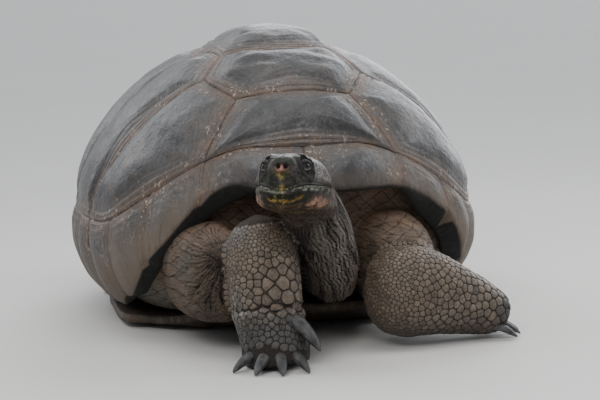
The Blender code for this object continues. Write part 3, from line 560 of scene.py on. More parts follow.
def marginalRings(counts):
    # section of the edge at each count: outer face with a swell on each plate, a round lip, the inner face
    angle = marginalAngle(counts)[:, None]
    off = np.abs(counts - np.round(counts))[:, None]  # 0 on the seam between two edge plates
    swell = np.sin(pi * counts)[:, None] ** 2
    lobe = carapace["rimScallop"] * np.abs(np.sin(pi * counts))[:, None] ** 0.8
    first = smooth(1.25 - np.abs(counts))[:, None]
    flare, right = rimFlare(angle), angle < 0
    raised = np.where(right, edgePlates["raisedRight"], edgePlates["raisedLeft"]) * flare
    dropped = np.where(right, 0.0, edgePlates["droppedLeft"]) * flare
    high = liftAt(beltHeight(angle))
    low, lowest = liftAt(rimHeight(angle) + raised - lobe), liftAt(rimHeight(angle) - dropped - lobe / 2)
    share = np.concatenate([np.linspace(0, 0.94, 24), [0.965, 0.985, 1.0]])[None]
    lift = high + (low - high) * share
    q = toMap(np.broadcast_to(angle, lift.shape), lift)
    surface, normal = mapPoint(q), mapNormal(q)
    belly = np.sin(pi * np.clip(share, 0, 1) ** 0.9) ** 0.8
    height = carapace["rimSwell"] * swell * belly * 1.1 + edgePlates["firstSwell"] * first * swell * belly
    seamOff = off * (pi / 11.5) * planRadius(angle)
    height = height - edgePlates["seamDepth"] * hill(seamOff, 0.0035) - 0.0022 * hill(share * 0.15, 0.004)
    drift = seamOff + 0.005 * rough(surface, 0.09, 2, 40)
    height = height + 0.0006 * np.sin(drift * 2 * pi / 0.010) * smooth(seamOff / 0.006) * (1 - share * 0.5)
    height = height + 0.0022 * rough(surface, 0.06, 3, 43) * smooth(share * 8)
    height = height - 0.0012 * past(share, 0.94, 0.06)
    outer = surface + normal * height[..., None]
    inShare = np.array([1.0, 0.93, 0.8, 0.6, 0.4, 0.2, 0.0])[None]
    thick = np.interp(inShare, [0, 0.3, 0.75, 1.0], [0.013, 0.017, 0.023, 0.021])
    thick = thick + edgePlates["flareDepth"] * flare * past(inShare, 0.45, 0.45)
    qIn = toMap(np.broadcast_to(angle, (len(counts), 7)), high + (lowest - high) * inShare)
    inner = mapPoint(qIn) - mapNormal(qIn) * thick[..., None]
    # the lip runs from the outer edge to the inner one, rounded at both and a little full between them
    across = np.array([0.03, 0.09, 0.18, 0.32, 0.50, 0.68, 0.82, 0.92])[None]
    down = unit(outer[:, -1:] - outer[:, -4:-3])
    nick = sum(deep * hill(counts - at, 0.055) for at, deep in edgePlates["nicks"])[:, None, None]
    outer = outer + (inner[:, :1] - outer[:, -1:]) * nick * past(share, 0.86, 0.14)[..., None]
    full = (0.0085 - 0.003 * flare) * np.sin(pi * across) ** 0.6
    full = full + 0.0015 * rough(outer[:, -1:] + across[..., None] * 0.05, 0.03, 2, 47)
    lip = outer[:, -1:] + (inner[:, :1] - outer[:, -1:]) * across[..., None] + down * full[..., None]
    rings = np.concatenate([outer, lip, inner], axis=1)
    columns = rings.shape[1]
    lowField = np.broadcast_to(np.concatenate([share[0], np.ones(8), inShare[0]])[None], rings.shape[:2])
    # painted shade under the lip: partly where the edge rounds inwards, fully where it flares
    lipRound, lipSharp = (0.1, 0.5, 0.8, 0.9, 1, 1, 1, 1), (0.55, 1, 1, 1, 1, 1, 1, 1)
    lipShade = np.array(lipRound) * (1 - flare) + np.array(lipSharp) * flare
    underShade = np.concatenate([np.zeros((len(counts), 27)), lipShade, np.ones((len(counts), 7))], axis=1)
    toBelt = share * np.linalg.norm(outer[:, -1] - outer[:, 0], axis=-1)[:, None]
    nearest = np.minimum(np.minimum(seamOff, toBelt), 0.2)
    edgeField = np.concatenate([nearest, np.broadcast_to(seamOff, (len(counts), columns - 27))], axis=1)
    return rings, edgeField, lowField, underShade


def addMarginals(name, first, last, material):  # the edge's sections joined from one seam to another
    counts = first + (last - first) * np.linspace(0, 1, int(abs(last - first)) * edgePlates["stepsEach"] + 1)
    rings, edge, low, under = marginalRings(counts)
    quads, fans = ringFaces(*rings.shape[:2])
    fields = {"edge": np.append(edge.ravel(), [0, 0]), "low": np.append(low.ravel(), [0, 0]),
              "under": np.append(under.ravel(), [1, 1])}
    addPiece("edge_" + name, capped(rings), quads, fans, material, (name,), fields)


def addCarapace():  # plates and runs of edge plates, all of one horn
    horn = shellFinish()
    for name, outline in plateOutlines().items():
        addPlate(name, outline, horn)
    for side, word in ((1, "left"), (-1, "right")):
        for place, first, last in (("front", 0, 4), ("side", 4, 8), ("rear", 8, 11)):
            addMarginals("marginals_%s_%s" % (place, word), side * first, side * last, horn)
    addMarginals("supracaudal", 11, 13, horn)
    print("carapace: 13 plates and 7 runs of edge plates")


# The plastron

plastron = {
    "outline": ((-0.435, 0.070), (-0.420, 0.150), (-0.300, 0.205), (-0.205, 0.285), (-0.160, 0.338),
                (0.000, 0.346), (0.145, 0.338), (0.200, 0.262), (0.245, 0.188), (0.380, 0.160),
                (0.415, 0.080)),
    "top": 0.032, "crossSeams": (-0.345, -0.215, -0.070, 0.125, 0.285), "seamDepth": 0.0018,
    "brown": (0.085, 0.062, 0.043), "dark": (0.030, 0.026, 0.022), "dust": (0.200, 0.150, 0.105),
}


def plastronLift(y):  # both ends curve up a little
    return 0.046 * before(y, -0.21, 0.21) + 0.020 * past(y, 0.22, 0.20)


def plastronFinish():
    # edge: metres from the nearest seam
    f = Finish("plastronHorn")
    edge, cloud = f.field("edge"), f.grain(0.08, 4.0, warp=0.3)
    wavy = edge + (cloud - 0.5) * 0.012
    rings = wavy.ripple(0.006)
    base = f.layers(
        plastron["dark"], (cloud.span(0.35, 0.65), plastron["brown"]),
        (f.grain(0.012, 3.0, (1, 1, 0.4)).span(0.5, 0.72) * 0.5, plastron["dust"]),
        (rings * 0.2, plastron["dark"]))
    normal = f.relief([(rings, 0.0005), (f.grain(0.010, 4.0), 0.0010), (f.grain(0.002, 2.0), 0.0002)])
    return f.close(base, 0.5 + cloud * 0.25, normal, Specular_IOR_Level=0.4)


def addPlastron():
    # rays from the middle over the outline: flat on the floor, its rim turned up, with seams cut in
    half = np.array([(w, y) for y, w in plastron["outline"]])
    corners = np.vstack([half, half[::-1] * [-1, 1]])
    padded = np.vstack([corners[-1:], corners, corners[:2]])
    outline = np.array([cubic(*padded[k:k + 4], t) for k in range(len(corners)) for t in np.arange(6) / 6])
    share = np.concatenate([np.linspace(0.03, 0.96, 40), [0.985, 1.0]])[:, None, None]
    flat = outline[None] * share
    x, y = flat[..., 0], flat[..., 1]
    seamY = np.min([np.abs(y - s + 0.012 * np.cos(x * 9)) for s in plastron["crossSeams"]], axis=0)
    seam = np.minimum(np.abs(x), seamY)
    outer = past(share[..., 0], 0.82, 0.18)
    under = 0.012 * outer + plastronLift(y) + plastron["seamDepth"] * hill(seam, 0.003) * (1 - outer * 0.6)
    bottom = np.stack([x, y, under], -1)
    upShare = np.array([1.0, 0.985, 0.9, 0.7, 0.4, 0.1])[:, None, None]
    up = outline[None] * upShare
    crown = plastron["top"] + plastronLift(up[..., 1]) - 0.004 * past(upShare[..., 0], 0.9, 0.1)
    topSide = np.concatenate([up, crown[..., None]], -1)
    points = capped(np.concatenate([bottom, topSide]), [0, 0, 0], [0, 0, plastron["top"]])
    quads, fans = ringFaces(len(share) + len(upShare), len(outline))
    edge = np.concatenate([seam.ravel(), np.zeros(len(upShare) * len(outline)), [0, 0]])
    addPiece("plastron_plate", points, quads, fans, plastronFinish(), ("plastron",),
             {"edge": edge})
    print("plastron")


# The body: stations run outwards as x, y, z, half-width, half-height, the same as in its solids

body = {
    "rightArm": ((-0.180, -0.270, 0.158, 0.080, 0.098), (-0.190, -0.350, 0.152, 0.083, 0.102),
                 (-0.187, -0.420, 0.148, 0.081, 0.098), (-0.172, -0.485, 0.147, 0.074, 0.092),
                 (-0.145, -0.540, 0.150, 0.058, 0.082)),
    "rightForearm": ((-0.110, -0.560, 0.262, 0.036, 0.030), (-0.108, -0.563, 0.238, 0.058, 0.050),
                     (-0.105, -0.572, 0.195, 0.067, 0.062), (-0.104, -0.588, 0.145, 0.070, 0.067),
                     (-0.102, -0.605, 0.098, 0.067, 0.066), (-0.098, -0.622, 0.055, 0.063, 0.068),
                     (-0.093, -0.636, 0.020, 0.065, 0.075), (-0.091, -0.640, 0.000, 0.060, 0.070)),
    "leftArm": ((0.165, -0.260, 0.150, 0.082, 0.095), (0.178, -0.350, 0.145, 0.086, 0.104),
                (0.180, -0.425, 0.138, 0.084, 0.100), (0.174, -0.485, 0.124, 0.076, 0.084)),
    "leftForearm": ((0.110, -0.545, 0.109, 0.046, 0.054), (0.136, -0.540, 0.108, 0.068, 0.080),
                    (0.178, -0.530, 0.105, 0.079, 0.090), (0.226, -0.520, 0.096, 0.077, 0.083),
                    (0.274, -0.512, 0.080, 0.067, 0.070), (0.318, -0.506, 0.064, 0.061, 0.058),
                    (0.352, -0.500, 0.051, 0.056, 0.048), (0.373, -0.497, 0.042, 0.046, 0.035)),
    "leftThigh": ((0.122, 0.146, 0.120, 0.066, 0.066), (0.187, 0.218, 0.122, 0.072, 0.064),
                  (0.228, 0.279, 0.118, 0.060, 0.054), (0.238, 0.294, 0.114, 0.043, 0.040)),
    "leftShank": ((0.222, 0.274, 0.118, 0.044, 0.044), (0.223, 0.276, 0.105, 0.050, 0.050),
                  (0.226, 0.278, 0.085, 0.052, 0.052), (0.232, 0.281, 0.060, 0.053, 0.052),
                  (0.243, 0.284, 0.032, 0.061, 0.059), (0.247, 0.286, 0.000, 0.060, 0.058)),
    "tail": ((0.000, 0.310, 0.110, 0.046, 0.044), (0.000, 0.380, 0.102, 0.044, 0.042),
             (0.006, 0.440, 0.086, 0.040, 0.038), (0.032, 0.482, 0.064, 0.031, 0.029),
             (0.070, 0.504, 0.042, 0.021, 0.020), (0.104, 0.510, 0.026, 0.010, 0.010)),
    "neck": ((0.042, -0.340, 0.170, 0.062, 0.072), (0.044, -0.430, 0.145, 0.058, 0.064),
             (0.042, -0.500, 0.142, 0.048, 0.054), (0.032, -0.540, 0.182, 0.052, 0.052),
             (0.012, -0.562, 0.236, 0.057, 0.055), (-0.020, -0.600, 0.296, 0.056, 0.055),
             (-0.040, -0.634, 0.330, 0.052, 0.045)),
    "tubes": ("rightArm", "rightForearm", "leftArm", "leftForearm", "leftThigh", "leftShank", "rightThigh",
              "rightShank", "tail", "neck"),
    "scaly": ("rightForearm", "leftForearm", "leftShank", "rightShank", "tail"),
    "upright": ("rightForearm", "leftShank", "rightShank"),  # these run downwards
    "coatDepth": {"neck": 0.0006}, "usualDepth": 0.0018,
    # share of the way down from the rim, then reach at the front, flanks and rear
    "trunkDrop": ((0.25, 0.955, 0.97, 0.70), (0.60, 0.925, 0.91, 0.62), (0.85, 0.86, 0.82, 0.58),
                  (1.00, 0.74, 0.68, 0.54), (1.00, 0.42, 0.44, 0.44)),
    "bellyHeight": 0.034,
}
for name in ("Thigh", "Shank"):
    body["right" + name] = tuple((-s[0], *s[1:]) for s in body["left" + name])

head = {
    "centre": (-0.060, -0.668, 0.340), "yaw": radians(19.0), "pitch": radians(10.0),
    # forward of the centre, half-width, top and bottom above it
    "sections": ((0.099, 0.015, 0.031, -0.014), (0.093, 0.027, 0.040, -0.029), (0.078, 0.038, 0.048, -0.041),
                 (0.058, 0.046, 0.053, -0.047), (0.034, 0.054, 0.056, -0.051), (0.006, 0.062, 0.057, -0.053),
                 (-0.024, 0.069, 0.055, -0.053), (-0.052, 0.069, 0.050, -0.050),
                 (-0.076, 0.058, 0.040, -0.041), (-0.091, 0.038, 0.026, -0.027)),
    "level": -0.008, "squareness": 2.35, "nose": 0.101, "nape": -0.097,
    "eye": (0.0560, 0.0348, 0.0300), "eyeRadius": 0.0125, "nostril": (0.0066, 0.0285), "throatSpacing": 0.009,
    # mouth line: forward, above
    "mouth": ((-0.050, -0.016), (-0.034, -0.006), (-0.010, -0.002), (0.040, -0.003), (0.068, -0.003),
              (0.084, -0.006), (0.094, -0.008), (0.0985, -0.012), (0.101, -0.016)),
}
headCentre = np.array(head["centre"])
headAhead = np.array([-sin(head["yaw"]) * cos(head["pitch"]), -cos(head["yaw"]) * cos(head["pitch"]),
                      sin(head["pitch"])])
headLeft = np.array([cos(head["yaw"]), -sin(head["yaw"]), 0.0])
headUp = np.cross(headAhead, headLeft)


def headPlace(ahead, aside, above):  # the head's own directions, from its centre
    ahead, aside, above = np.broadcast_arrays(ahead, aside, above)
    return headCentre + ahead[..., None] * headAhead + aside[..., None] * headLeft + above[..., None] * headUp


def headParts(points):  # how far ahead, aside and above in the head
    away = points - headCentre
    return away @ headAhead, away @ headLeft, away @ headUp


def oval(columns, power):  # superellipse: signed powers of cosine and sine
    turn = np.arange(columns) * 2 * pi / columns
    c, s = np.cos(turn), np.sin(turn)
    return np.sign(c) * np.abs(c) ** (2 / power), np.sign(s) * np.abs(s) ** (2 / power)


def tube(name, columns=72, perSpan=8):
    # an oval carried along the limb's curve, across the curve and a fixed upright, and pointed at its ends
    rows = spline(body[name], perSpan)
    centres, shrink = rows[:, :3], body["coatDepth"].get(name, body["usualDepth"])
    along = unit(np.gradient(centres, axis=0))
    wide = unit(np.cross(along, (0, 1, 0) if name in body["upright"] else (0, 0, 1)))
    high = np.cross(wide, along)
    c, s = (part[None, :, None] for part in oval(columns, 2.2))
    across = wide[:, None] * c * (rows[:, 3] - shrink)[:, None, None]
    rings = centres[:, None] + across + high[:, None] * s * (rows[:, 4] - shrink)[:, None, None]
    start = centres[0] - along[0] * rows[0, 3] * 0.35
    end = centres[-1] + along[-1] * rows[-1, 3] * 0.35
    points = capped(rings, start, end)
    points[:, 2] = np.maximum(points[:, 2], ground["tube"])
    return points, ringFaces(len(rings), columns)


headTable = spline(head["sections"], 7)  # section sizes in order from the nape to the nose
headTable = headTable[np.argsort(headTable[:, 0])]


def headTube(columns=96):  # superellipse sections across the head's own axis
    rows = headTable
    c, s = oval(columns, head["squareness"])
    level, shrink = head["level"], 0.0008
    tall = np.where(s[None] > 0, rows[:, 2:3] - level, level - rows[:, 3:4]) - shrink
    rings = headPlace(rows[:, :1] + 0 * c, (rows[:, 1:2] - shrink) * c, level + tall * s)
    points = capped(rings, headPlace(head["nape"], 0.0, -0.002), headPlace(head["nose"], 0.0, 0.004))
    return points, ringFaces(len(rings), columns)


def trunkTube(columns=120):  # rings follow the shell inside, turn at the rim and drop to the belly plate
    angle = np.linspace(-pi, pi, columns, endpoint=False)
    rearward = past(np.degrees(np.abs(angle)), 112, 18)
    hang = np.minimum(rimHeight(angle) + 0.045 + 0.05 * rearward, beltHeight(angle) - 0.02)
    top = liftAt(hang)
    opening = past(hang, 0.10, 0.12) * (1 - rearward)
    rings = []
    for share in (0.10, 0.05, 0.0):
        q = toMap(angle, top + (pi / 2 - top) * share)
        rings.append(mapPoint(q) - mapNormal(q) * (carapace["rimThickness"] + 0.0112))
    rim = rings[-1]
    drop = spline([(0.0, 1.0, 1.0, 1.0)] + list(body["trunkDrop"])[:4], 4)[1:]
    for share, front, side, rear in np.vstack([drop, body["trunkDrop"][4]]):
        factor = side + (front - side) * opening + (rear - side) * rearward
        x = rim[:, 0] * factor
        y = carapace["centreY"] + (rim[:, 1] - carapace["centreY"]) * factor
        z = rim[:, 2] + (body["bellyHeight"] - 0.002 + plastronLift(y) - rim[:, 2]) * min(share, 1.0)
        rings.append(np.stack([x, y, z], -1))
    rings = np.array(rings)
    return capped(rings, last=[0, 0, body["bellyHeight"]]), ringFaces(len(rings), columns)


skinMesh = {"cell": 0.0077, "zoom": 2.0, "zoomReach": 0.34, "rearStart": -0.22, "rearScale": 0.62,
            "relaxRounds": 14, "headRounds": 4}


def zoomed(points):
    # near the head a distance r becomes r (1 + zoom / (1 + (r / reach)^2)); the rear is shortened
    p = points.copy()
    behind = np.maximum(p[:, 1] - skinMesh["rearStart"], 0)
    p[:, 1] -= behind * (1 - skinMesh["rearScale"])
    away = p - headCentre
    r = np.linalg.norm(away, axis=1, keepdims=True)
    return headCentre + away * (1 + skinMesh["zoom"] / (1 + (r / skinMesh["zoomReach"]) ** 2))


def unzoomed(points):  # the same, read backwards from a table
    table = np.linspace(1e-6, 2.5, 6000)
    far = table * (1 + skinMesh["zoom"] / (1 + (table / skinMesh["zoomReach"]) ** 2))
    away = points - headCentre
    r = np.linalg.norm(away, axis=1, keepdims=True)
    p = headCentre + away * np.interp(r, far, table) / np.maximum(r, 1e-9)
    behind = np.maximum(p[:, 1] - skinMesh["rearStart"], 0)
    p[:, 1] += behind * (1 / skinMesh["rearScale"] - 1)
    return p


def unionOfTubes():  # the closed tubes become one closed surface by a voxel remesh in the zoomed space
    points, faces, offset = [], [], 0
    for made, (quads, fans) in [tube(name) for name in body["tubes"]] + [headTube(), trunkTube()]:
        if signedVolume(made, quads, fans) < 0:
            quads, fans = quads[:, ::-1], fans[:, ::-1]
        points.append(made)
        faces += (quads + offset).tolist() + (fans + offset).tolist()
        offset += len(made)
    mesh = bpy.data.meshes.new("tubes")
    mesh.from_pydata(zoomed(np.vstack(points)).tolist(), [], faces)
    merged = bpy.data.objects.new("tubes", mesh)
    bpy.context.scene.collection.objects.link(merged)
    remesh = merged.modifiers.new("union", "REMESH")
    remesh.mode, remesh.voxel_size, remesh.adaptivity = "VOXEL", skinMesh["cell"], 0.0
    whole = merged.evaluated_get(bpy.context.evaluated_depsgraph_get()).to_mesh()
    found = np.zeros(len(whole.vertices) * 3)
    whole.vertices.foreach_get("co", found)
    corners = np.zeros(len(whole.loops), int)
    whole.loops.foreach_get("vertex_index", corners)
    quads = corners.reshape(-1, 4)
    found = unzoomed(found.reshape(-1, 3))
    bpy.data.objects.remove(merged, do_unlink=True)
    bpy.data.meshes.remove(mesh)
    return largestShell(found, quads)


def largestShell(points, quads):  # labels spread along edges until they settle; only the biggest part is kept
    label = np.arange(len(points))
    while True:
        low = label[quads].min(axis=1)
        new = label.copy()
        for k in range(4):
            np.minimum.at(new, quads[:, k], low)
        new = new[new]
        if np.array_equal(new, label):
            break
        label = new
    biggest = np.bincount(label).argmax()
    keep = label == biggest
    index = np.cumsum(keep) - 1
    return points[keep], index[quads[keep[quads[:, 0]]]]


def relax(points, quads, rounds, keep=None):
    # each vertex goes half-way to the mean of its neighbours, then a little back, so that nothing shrinks
    edges = np.vstack([quads[:, [k, (k + 1) % 4]] for k in range(4)])
    count = np.bincount(edges[:, 0], minlength=len(points)) + np.bincount(edges[:, 1], minlength=len(points))
    amount = np.ones(len(points)) if keep is None else 1.0 - keep
    for k in range(rounds * 2):
        total = np.stack([np.bincount(edges[:, 0], points[edges[:, 1], axis], len(points))
                          + np.bincount(edges[:, 1], points[edges[:, 0], axis], len(points))
                          for axis in range(3)], -1)
        step = 0.5 if k % 2 == 0 else -0.51
        points = points + (total / count[:, None] - points) * (step * amount)[:, None]
    return points


def normalsOf(points, quads):  # crossed diagonals of the quads, summed at their corners
    across = np.cross(points[quads[:, 2]] - points[quads[:, 0]], points[quads[:, 3]] - points[quads[:, 1]])
    total = np.stack([sum(np.bincount(quads[:, k], across[:, axis], len(points)) for k in range(4))
                      for axis in range(3)], -1)
    return unit(total)


def follow(points, name, perSpan=5):
    # nearest place on the limb's curve: how far along, how far out (1 on its surface), and the angle round it
    rows = spline(body[name], perSpan)
    best = np.full(len(points), np.inf)
    near, run, place = np.zeros((len(points), 5)), np.zeros((len(points), 3)), np.zeros(len(points))
    for k in range(len(rows) - 1):
        step = rows[k + 1, :3] - rows[k, :3]
        t = np.clip((points - rows[k, :3]) @ step / (step @ step), 0, 1)
        row = rows[k] + t[:, None] * (rows[k + 1] - rows[k])
        away = np.linalg.norm(points - row[:, :3], axis=1)
        closer = away < best
        best = np.where(closer, away, best)
        near[closer], run[closer], place[closer] = row[closer], unit(step), (k + t[closer]) / (len(rows) - 1)
    wide = unit(np.cross(run, (0, 1, 0) if name in body["upright"] else (0, 0, 1)))
    high = np.cross(wide, run)
    away = points - near[:, :3]
    c, s = (away * wide).sum(1) / near[:, 3], (away * high).sum(1) / near[:, 4]
    beyond = (away * run).sum(1) / near[:, 3]  # only past the two ends
    out = (np.abs(c) ** 2.2 + np.abs(s) ** 2.2 + np.abs(beyond) ** 2.2) ** (1 / 2.2)
    return {"along": place, "out": out, "turn": np.arctan2(s, c)}


def creases(points, turn, spacing, thin, seed):
    # nearly straight lines across one direction, so many metres apart: sines of the distance along it,
    # drifting by a noise, and broken off where a second noise is low
    along = points[:, 0] * cos(turn) + points[:, 2] * sin(turn) + points[:, 1] * 0.15
    winding = along / spacing + 1.1 * rough(points, spacing * 2.2, 2, seed)
    line = 1 - smooth(np.abs(np.sin(winding * pi)) / thin)
    return line * past(noise(points, spacing * 1.7, seed + 5), -0.15, 0.3)


# painted light and shade among these tones: depth, laid in folds and creases; the near-black tone of the
# eye's hollow; dark, where it lies on one side of the lower neck and under the scales; the crown tones, as
# highlights on the head's top, over the brow and on the upper lids; the pale neck tone, where it lies on the
# other side of the neck and on the lids' lower rim
skinTone = {
    "brown": (0.102, 0.074, 0.052), "grey": (0.092, 0.079, 0.066), "dark": (0.026, 0.021, 0.018),
    "foot": (0.030, 0.028, 0.027), "face": (0.038, 0.036, 0.033), "crown": (0.170, 0.167, 0.160),
    "socketShade": (0.013, 0.012, 0.012), "cheek": (0.078, 0.066, 0.060), "jawGrey": (0.028, 0.026, 0.025),
    "pink": (0.40, 0.19, 0.15), "corner": (0.290, 0.165, 0.110), "depth": (0.010, 0.008, 0.007),
    "crownHighlight": (0.260, 0.245, 0.238), "gold": (0.120, 0.080, 0.036), "lip": (0.125, 0.127, 0.100),
    "greenBlack": (0.010, 0.012, 0.007), "stain": (0.250, 0.185, 0.045), "amber": (0.200, 0.105, 0.022),
    "throat": (0.026, 0.017, 0.010), "paleAndLitSkin": (0.150, 0.130, 0.112), "rust": (0.150, 0.092, 0.062),
}


def laid(base, *coats):  # colours mixed over the base in turn; a coat is the name of a tone and its share
    for name, share in coats:
        share = np.clip(share, 0, 1)[..., None]
        base = base * (1 - share) + np.array(skinTone[name]) * share
    return base


def mouthHeight(ahead):  # straight between the places of the mouth line
    return np.interp(ahead, *np.transpose(head["mouth"]))


def eyeAway(a, s, h, shift=0.004):  # distance from the eye's place, moved this much ahead and aside
    eyeA, eyeS, eyeH = head["eye"]
    return np.sqrt((a - eyeA - shift) ** 2 + (np.abs(s) - eyeS - shift) ** 2 + (h - eyeH) ** 2)


def nostrilAway(s, h):  # distance from the nostril's line, which runs ahead
    return np.sqrt((np.abs(s) - head["nostril"][0]) ** 2 + (h - head["nostril"][1]) ** 2)


def throatWave(a, h, flat):  # grows by one for each fold across the throat, drifting by a noise
    return (a + h * 0.4 + 0.004 * noise(flat, 0.02, 61)) / head["throatSpacing"]


def sculptHead(a, s, h):
    # metres outwards at a place ahead, aside and above in the head: a sum of bells, each one feature
    side, flat, toEye = np.abs(s), np.stack([a, s, h], -1), eyeAway(a, s, h)
    mouth, inMouth = h - mouthHeight(a), past(a, -0.052, 0.020)
    out = 0.0036 * past(toEye, 0.014, 0.008) * before(toEye, 0.034, 0.012) * past(side, 0.012, 0.012)
    out += 0.0030 * hill(np.hypot(a - 0.046, h - 0.050), 0.012) * hill(side - 0.034, 0.016)
    out += 0.0020 * hill(toEye - 0.0250, 0.0045) * past(h, 0.024, 0.01) * before(a, 0.080, 0.02)
    out += -0.0028 * hill(np.hypot(a - 0.080, h - 0.016), 0.011) * hill(side - 0.034, 0.012)
    out += 0.0022 * hill(np.hypot(a - 0.100, h - 0.026), 0.012) * hill(s, 0.013)
    nostril = nostrilAway(s, h) + 0.03 * np.maximum(0.085 - a, 0)
    out += (-0.0100 * hill(nostril, 0.0038) + 0.0012 * hill(nostril - 0.0062, 0.0018)) * past(a, 0.075, 0.01)
    out += (-0.0042 * hill(mouth, 0.0022) + 0.0016 * hill(mouth - 0.006, 0.0042)
            + 0.0014 * hill(mouth + 0.007, 0.0045)) * inMouth
    out += -0.0016 * hill(mouth + 0.0165, 0.0022) * inMouth * past(a, 0.01, 0.03)
    out += 0.0030 * hill(a + 0.010, 0.028) * hill(h - 0.010, 0.020) * past(side, 0.03, 0.02)
    out += -0.0025 * hill(a + 0.050, 0.010) * hill(h, 0.020)
    out += 0.0022 * hill(a + 0.012, 0.018) * hill(h + 0.026, 0.010) * past(side, 0.03, 0.02)
    out += 0.0042 * hill(h + 0.034, 0.014) * hill(a - 0.012, 0.045) * past(side, 0.022, 0.02)
    out += 0.0038 * hill(a - 0.008, 0.038) * hill(h - 0.040, 0.018) * past(side, 0.028, 0.018)
    fold = (throatWave(a, h, flat) % 1.0 - 0.5) * head["throatSpacing"]
    out += -0.0016 * hill(fold, 0.0016) * before(h, -0.036, 0.012)
    out += 0.0006 * rough(flat, 0.010, 2, 64)
    return out


